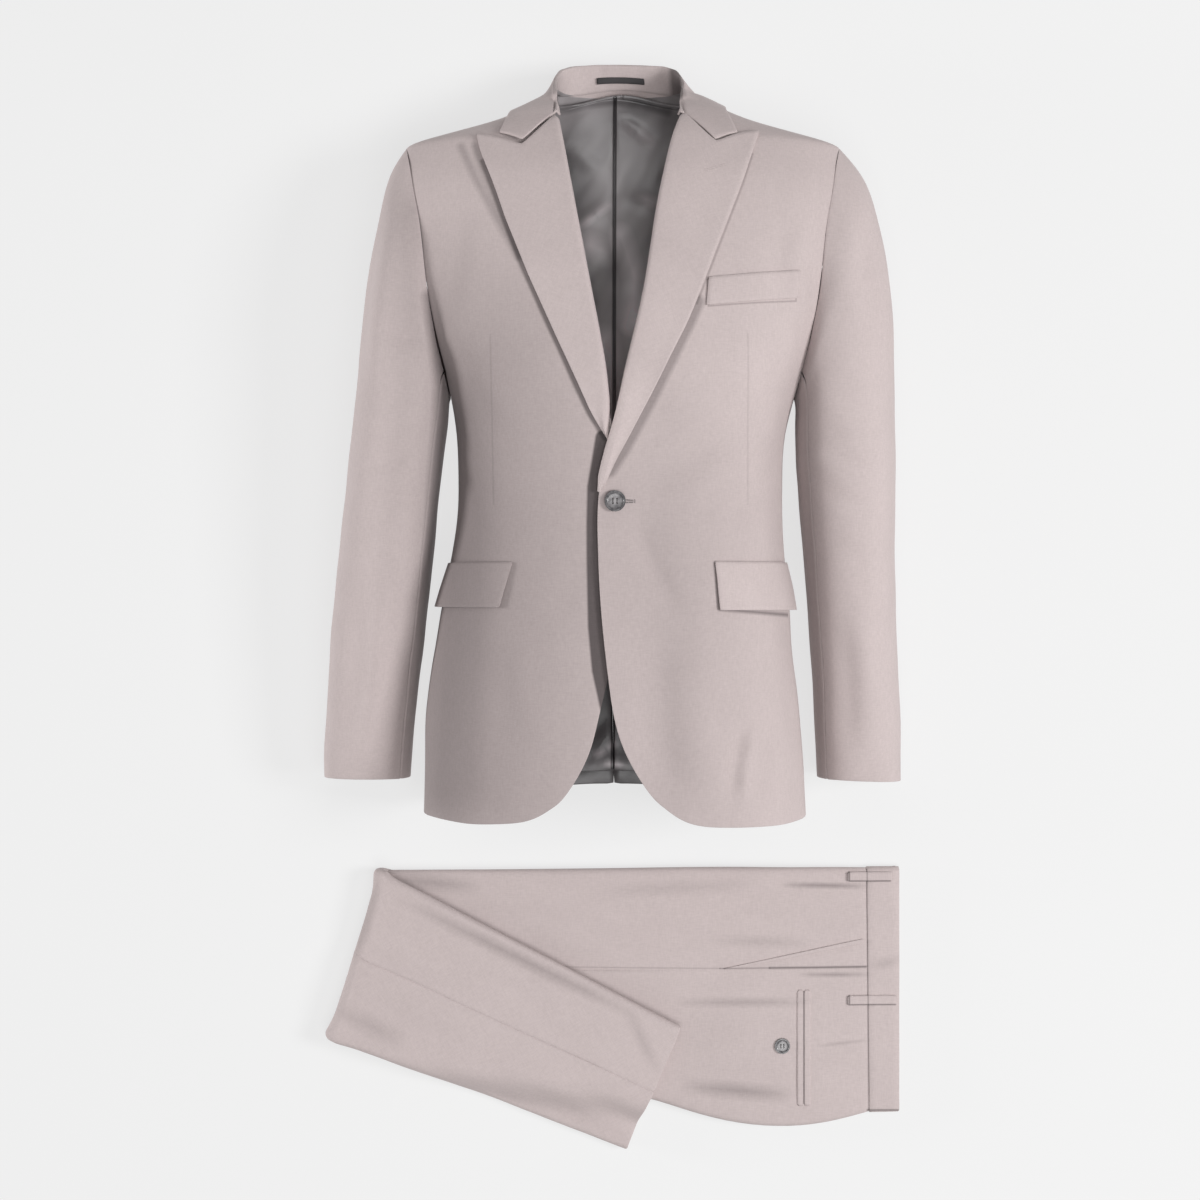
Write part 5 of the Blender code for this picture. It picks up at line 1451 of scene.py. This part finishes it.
@dataclass
class StitchRow:
    """A row of small raised stitches that lies on a piece, in millimetres."""

    name: str
    path: tuple[tuple[float, float], ...]
    spacing: float
    length: float
    thickness: float = 0.5
    turn: float = 90.0
    lift: float = 0.12
    finish: str = "sewing thread"

    def places(self) -> list[tuple[float, float, float]]:
        """Spaces the stitches along the path.

        Returns:
            x, y and the way of the path, for each stitch.
        """
        found = []
        for start, end in zip(self.path, self.path[1:]):
            length = math.dist(start, end)
            count = max(1, round(length / self.spacing))
            way = math.atan2(end[1] - start[1], end[0] - start[0])
            for step in range(count):
                share = (step + 0.5) / count
                x = start[0] + share * (end[0] - start[0])
                found.append((x, start[1] + share * (end[1] - start[1]), way))
        return found

    def build(self, ground: BVHTree, materials: dict) -> None:
        """Makes one stitch, copies it along the path onto what is under it, and joins the copies.

        Args:
            ground: the surface that the stitches lie on.
            materials: the materials by finish name.
        """
        bpy.ops.object.select_all(action="DESELECT")
        bpy.ops.mesh.primitive_uv_sphere_add(segments=8, ring_count=6, radius=0.5 * MM)
        first = bpy.context.active_object
        first.scale = (self.length, self.thickness, self.thickness)
        bpy.ops.object.transform_apply(location=True, rotation=True, scale=True)
        stitches = []
        for x, y, way in self.places():
            hit = ground.ray_cast(Vector((x * MM, y * MM, RAY_HEIGHT)), Vector((0, 0, -1)))
            if hit[0] is None:
                continue
            stitch = first.copy()
            stitch.data = first.data.copy()
            bpy.context.scene.collection.objects.link(stitch)
            stitch.rotation_euler = (0.0, 0.0, way + math.radians(self.turn))
            stitch.location = (x * MM, y * MM, hit[0].z + self.lift * self.thickness * MM)
            stitches.append(stitch)
        bpy.data.objects.remove(first)
        dress(join_all(stitches, self.name), materials[self.finish])
        LOG.info("%s made of %d stitches", self.name, len(stitches))


def ground_of(piece: Piece) -> BVHTree:
    """Makes a tree for casting rays onto a piece.

    Args:
        piece: the piece.

    Returns:
        The tree, in metres.
    """
    piece.data.calc_loop_triangles()
    triangles = [tuple(triangle.vertices) for triangle in piece.data.loop_triangles]
    return BVHTree.FromPolygons([vertex.co for vertex in piece.data.vertices], triangles)


FRONT_BUTTON = FourHoleButton("front_button_horn", "front_button", (0.3, 113.9), 206.5, 10.8)
POCKET_BUTTON = FourHoleButton("pocket_button_horn", "pocket_button", (187.35, -483.35), 19.7, 8.4, thickness=2.6)
BUTTONHOLE = (
    StitchRow("buttonhole_upper_edge", ((9.0, 115.3), (19.2, 114.6)), 0.75, 2.0),
    StitchRow("buttonhole_lower_edge", ((9.0, 112.4), (19.2, 112.8)), 0.75, 2.0),
    StitchRow("buttonhole_bar", ((20.4, 115.8), (20.4, 111.8)), 0.8, 1.9),
)
LAPEL_HOLE = (
    StitchRow("lapel_hole_upper_edge", ((92.0, 457.3), (114.5, 464.6)), 0.85, 1.5, 0.35, finish="wool thread"),
    StitchRow("lapel_hole_lower_edge", ((92.6, 455.4), (115.1, 462.7)), 0.85, 1.5, 0.35, finish="wool thread"),
)


# Studio


@dataclass
class Studio:
    """The plain pale floor, soft lights and the camera straight above, in metres and watts."""

    camera_place: tuple[float, float, float] = (-0.01522, 0.01215, 2.5)
    lens: float = 66.96
    sensor: float = 36.0
    floor_size: float = 14.0
    floor_drop: float = 0.0006
    fill: float = 0.24
    top_power: float = 92.0
    top_place: tuple[float, float, float] = (0.5, -1.1, 4.2)
    top_size: float = 2.4
    key_power: float = 150.0
    key_place: tuple[float, float, float] = (3.5, 0.0, 3.5)
    key_size: float = 1.4
    side_power: float = 85.0
    side_place: tuple[float, float, float] = (-4.0, 0.3, 0.5)
    side_size: float = 0.8

    def floor(self, material: Material) -> None:
        """Lays the floor.

        Args:
            material: its finish.
        """
        bpy.ops.object.select_all(action="DESELECT")
        bpy.ops.mesh.primitive_plane_add(size=self.floor_size, location=(0.0, 0.0, -self.floor_drop))
        plane = bpy.context.active_object
        plane.name = "floor"
        bpy.ops.object.transform_apply(location=True, rotation=True, scale=True)
        plane.data.materials.append(material)

    def area_light(self, name: str, place: tuple, size: float, power: float) -> None:
        """Hangs a soft light that faces the garments.

        Args:
            name: its name.
            place: where it hangs, in metres.
            size: its side, in metres.
            power: its power, in watts.
        """
        bpy.ops.object.light_add(type="AREA", location=place)
        light = bpy.context.active_object
        light.name = name
        light.data.shape = "SQUARE"
        light.data.size = size
        light.data.energy = power
        light.rotation_euler = (-Vector(place)).to_track_quat("-Z", "Y").to_euler()

    def light(self) -> None:
        """Sets the even surrounding light and the soft lights."""
        world = bpy.data.worlds.new("studio")
        bpy.context.scene.world = world
        world.use_nodes = True
        set_inputs(world.node_tree.nodes["Background"], {"Color": (1.0, 1.0, 1.0, 1.0), "Strength": self.fill})
        self.area_light("key light", self.key_place, self.key_size, self.key_power)
        self.area_light("top light", self.top_place, self.top_size, self.top_power)
        self.area_light("side light", self.side_place, self.side_size, self.side_power)
        bpy.context.scene.view_settings.view_transform = "Standard"

    def camera(self) -> None:
        """Sets the camera straight above, with the collar at the top."""
        bpy.ops.object.camera_add(location=self.camera_place, rotation=(0.0, 0.0, 0.0))
        camera = bpy.context.active_object
        camera.data.lens = self.lens
        camera.data.sensor_width = self.sensor
        bpy.context.scene.camera = camera


def all_materials(groups: Groups) -> dict:
    """Makes every finish's material.

    Args:
        groups: the shared node groups.

    Returns:
        The materials by finish name.
    """
    finishes = (
        WorstedFinish(),
        WorstedFinish("right front worsted with painted shade", lines=RIGHT_FRONT_LINES),
        WorstedFinish("left front worsted with painted shade", lines=LEFT_FRONT_LINES),
        WorstedFinish("sleeve worsted with painted shade", lines=SLEEVE_PAINTED_SHADES),
        WorstedFinish("collar worsted with painted shade", lines=COLLAR_PAINTED_SHADES),
        WorstedFinish("left lapel worsted", Grain.LEFT_LAPEL),
        WorstedFinish("right lapel worsted", Grain.RIGHT_LAPEL),
        WorstedFinish("trouser worsted with painted shade", Grain.ALONG_X, lines=TROUSER_LINES),
        WorstedFinish("folded leg worsted with painted shade", Grain.FOLDED_LEG, lines=FOLDED_LEG_PAINTED_SHADES),
        SatinFinish(lines=LINING_LINES),
        SatinFinish("loop satin", (0.022, 0.021, 0.022), (0.055, 0.052, 0.054), roughness=0.6, shine=0.15),
        HornFinish(FRONT_BUTTON.name, FRONT_BUTTON.centre, radius=FRONT_BUTTON.radius),
        HornFinish(POCKET_BUTTON.name, POCKET_BUTTON.centre, radius=POCKET_BUTTON.radius),
        ThreadFinish(),
        ThreadFinish("wool thread", (0.36, 0.31, 0.30), (0.66, 0.58, 0.565)),
        FloorFinish(),
    )
    return {finish.name: finish.material(groups) for finish in finishes}


def main() -> None:
    """Builds the suit in order: studio, jacket, lining, sleeves, trousers, buttons, stitching."""
    logging.basicConfig(level=logging.INFO, format="%(message)s")
    materials = all_materials(Groups())
    studio = Studio()
    studio.camera()
    studio.light()
    studio.floor(materials["pale floor"])
    body = Garment(TORSO, BODY_CUTS)
    body.build(materials)
    Garment(LINING, LINING_CUTS, "lining").build(materials)
    Garment(LEFT_SLEEVE, LEFT_SLEEVE_CUTS).build(materials)
    Garment(RIGHT_SLEEVE, RIGHT_SLEEVE_CUTS).build(materials)
    Garment(TROUSERS, TROUSER_CUTS).build(materials)
    Garment(FOLDED_LEG, FOLDED_LEG_CUTS).build(materials)
    FRONT_BUTTON.build(materials)
    POCKET_BUTTON.build(materials)
    for row in BUTTONHOLE:
        row.build(ground_of(body.pieces["front_left"]), materials)
    for row in LAPEL_HOLE:
        row.build(ground_of(body.pieces["lapel_left"]), materials)


if __name__ == "__main__":
    main()
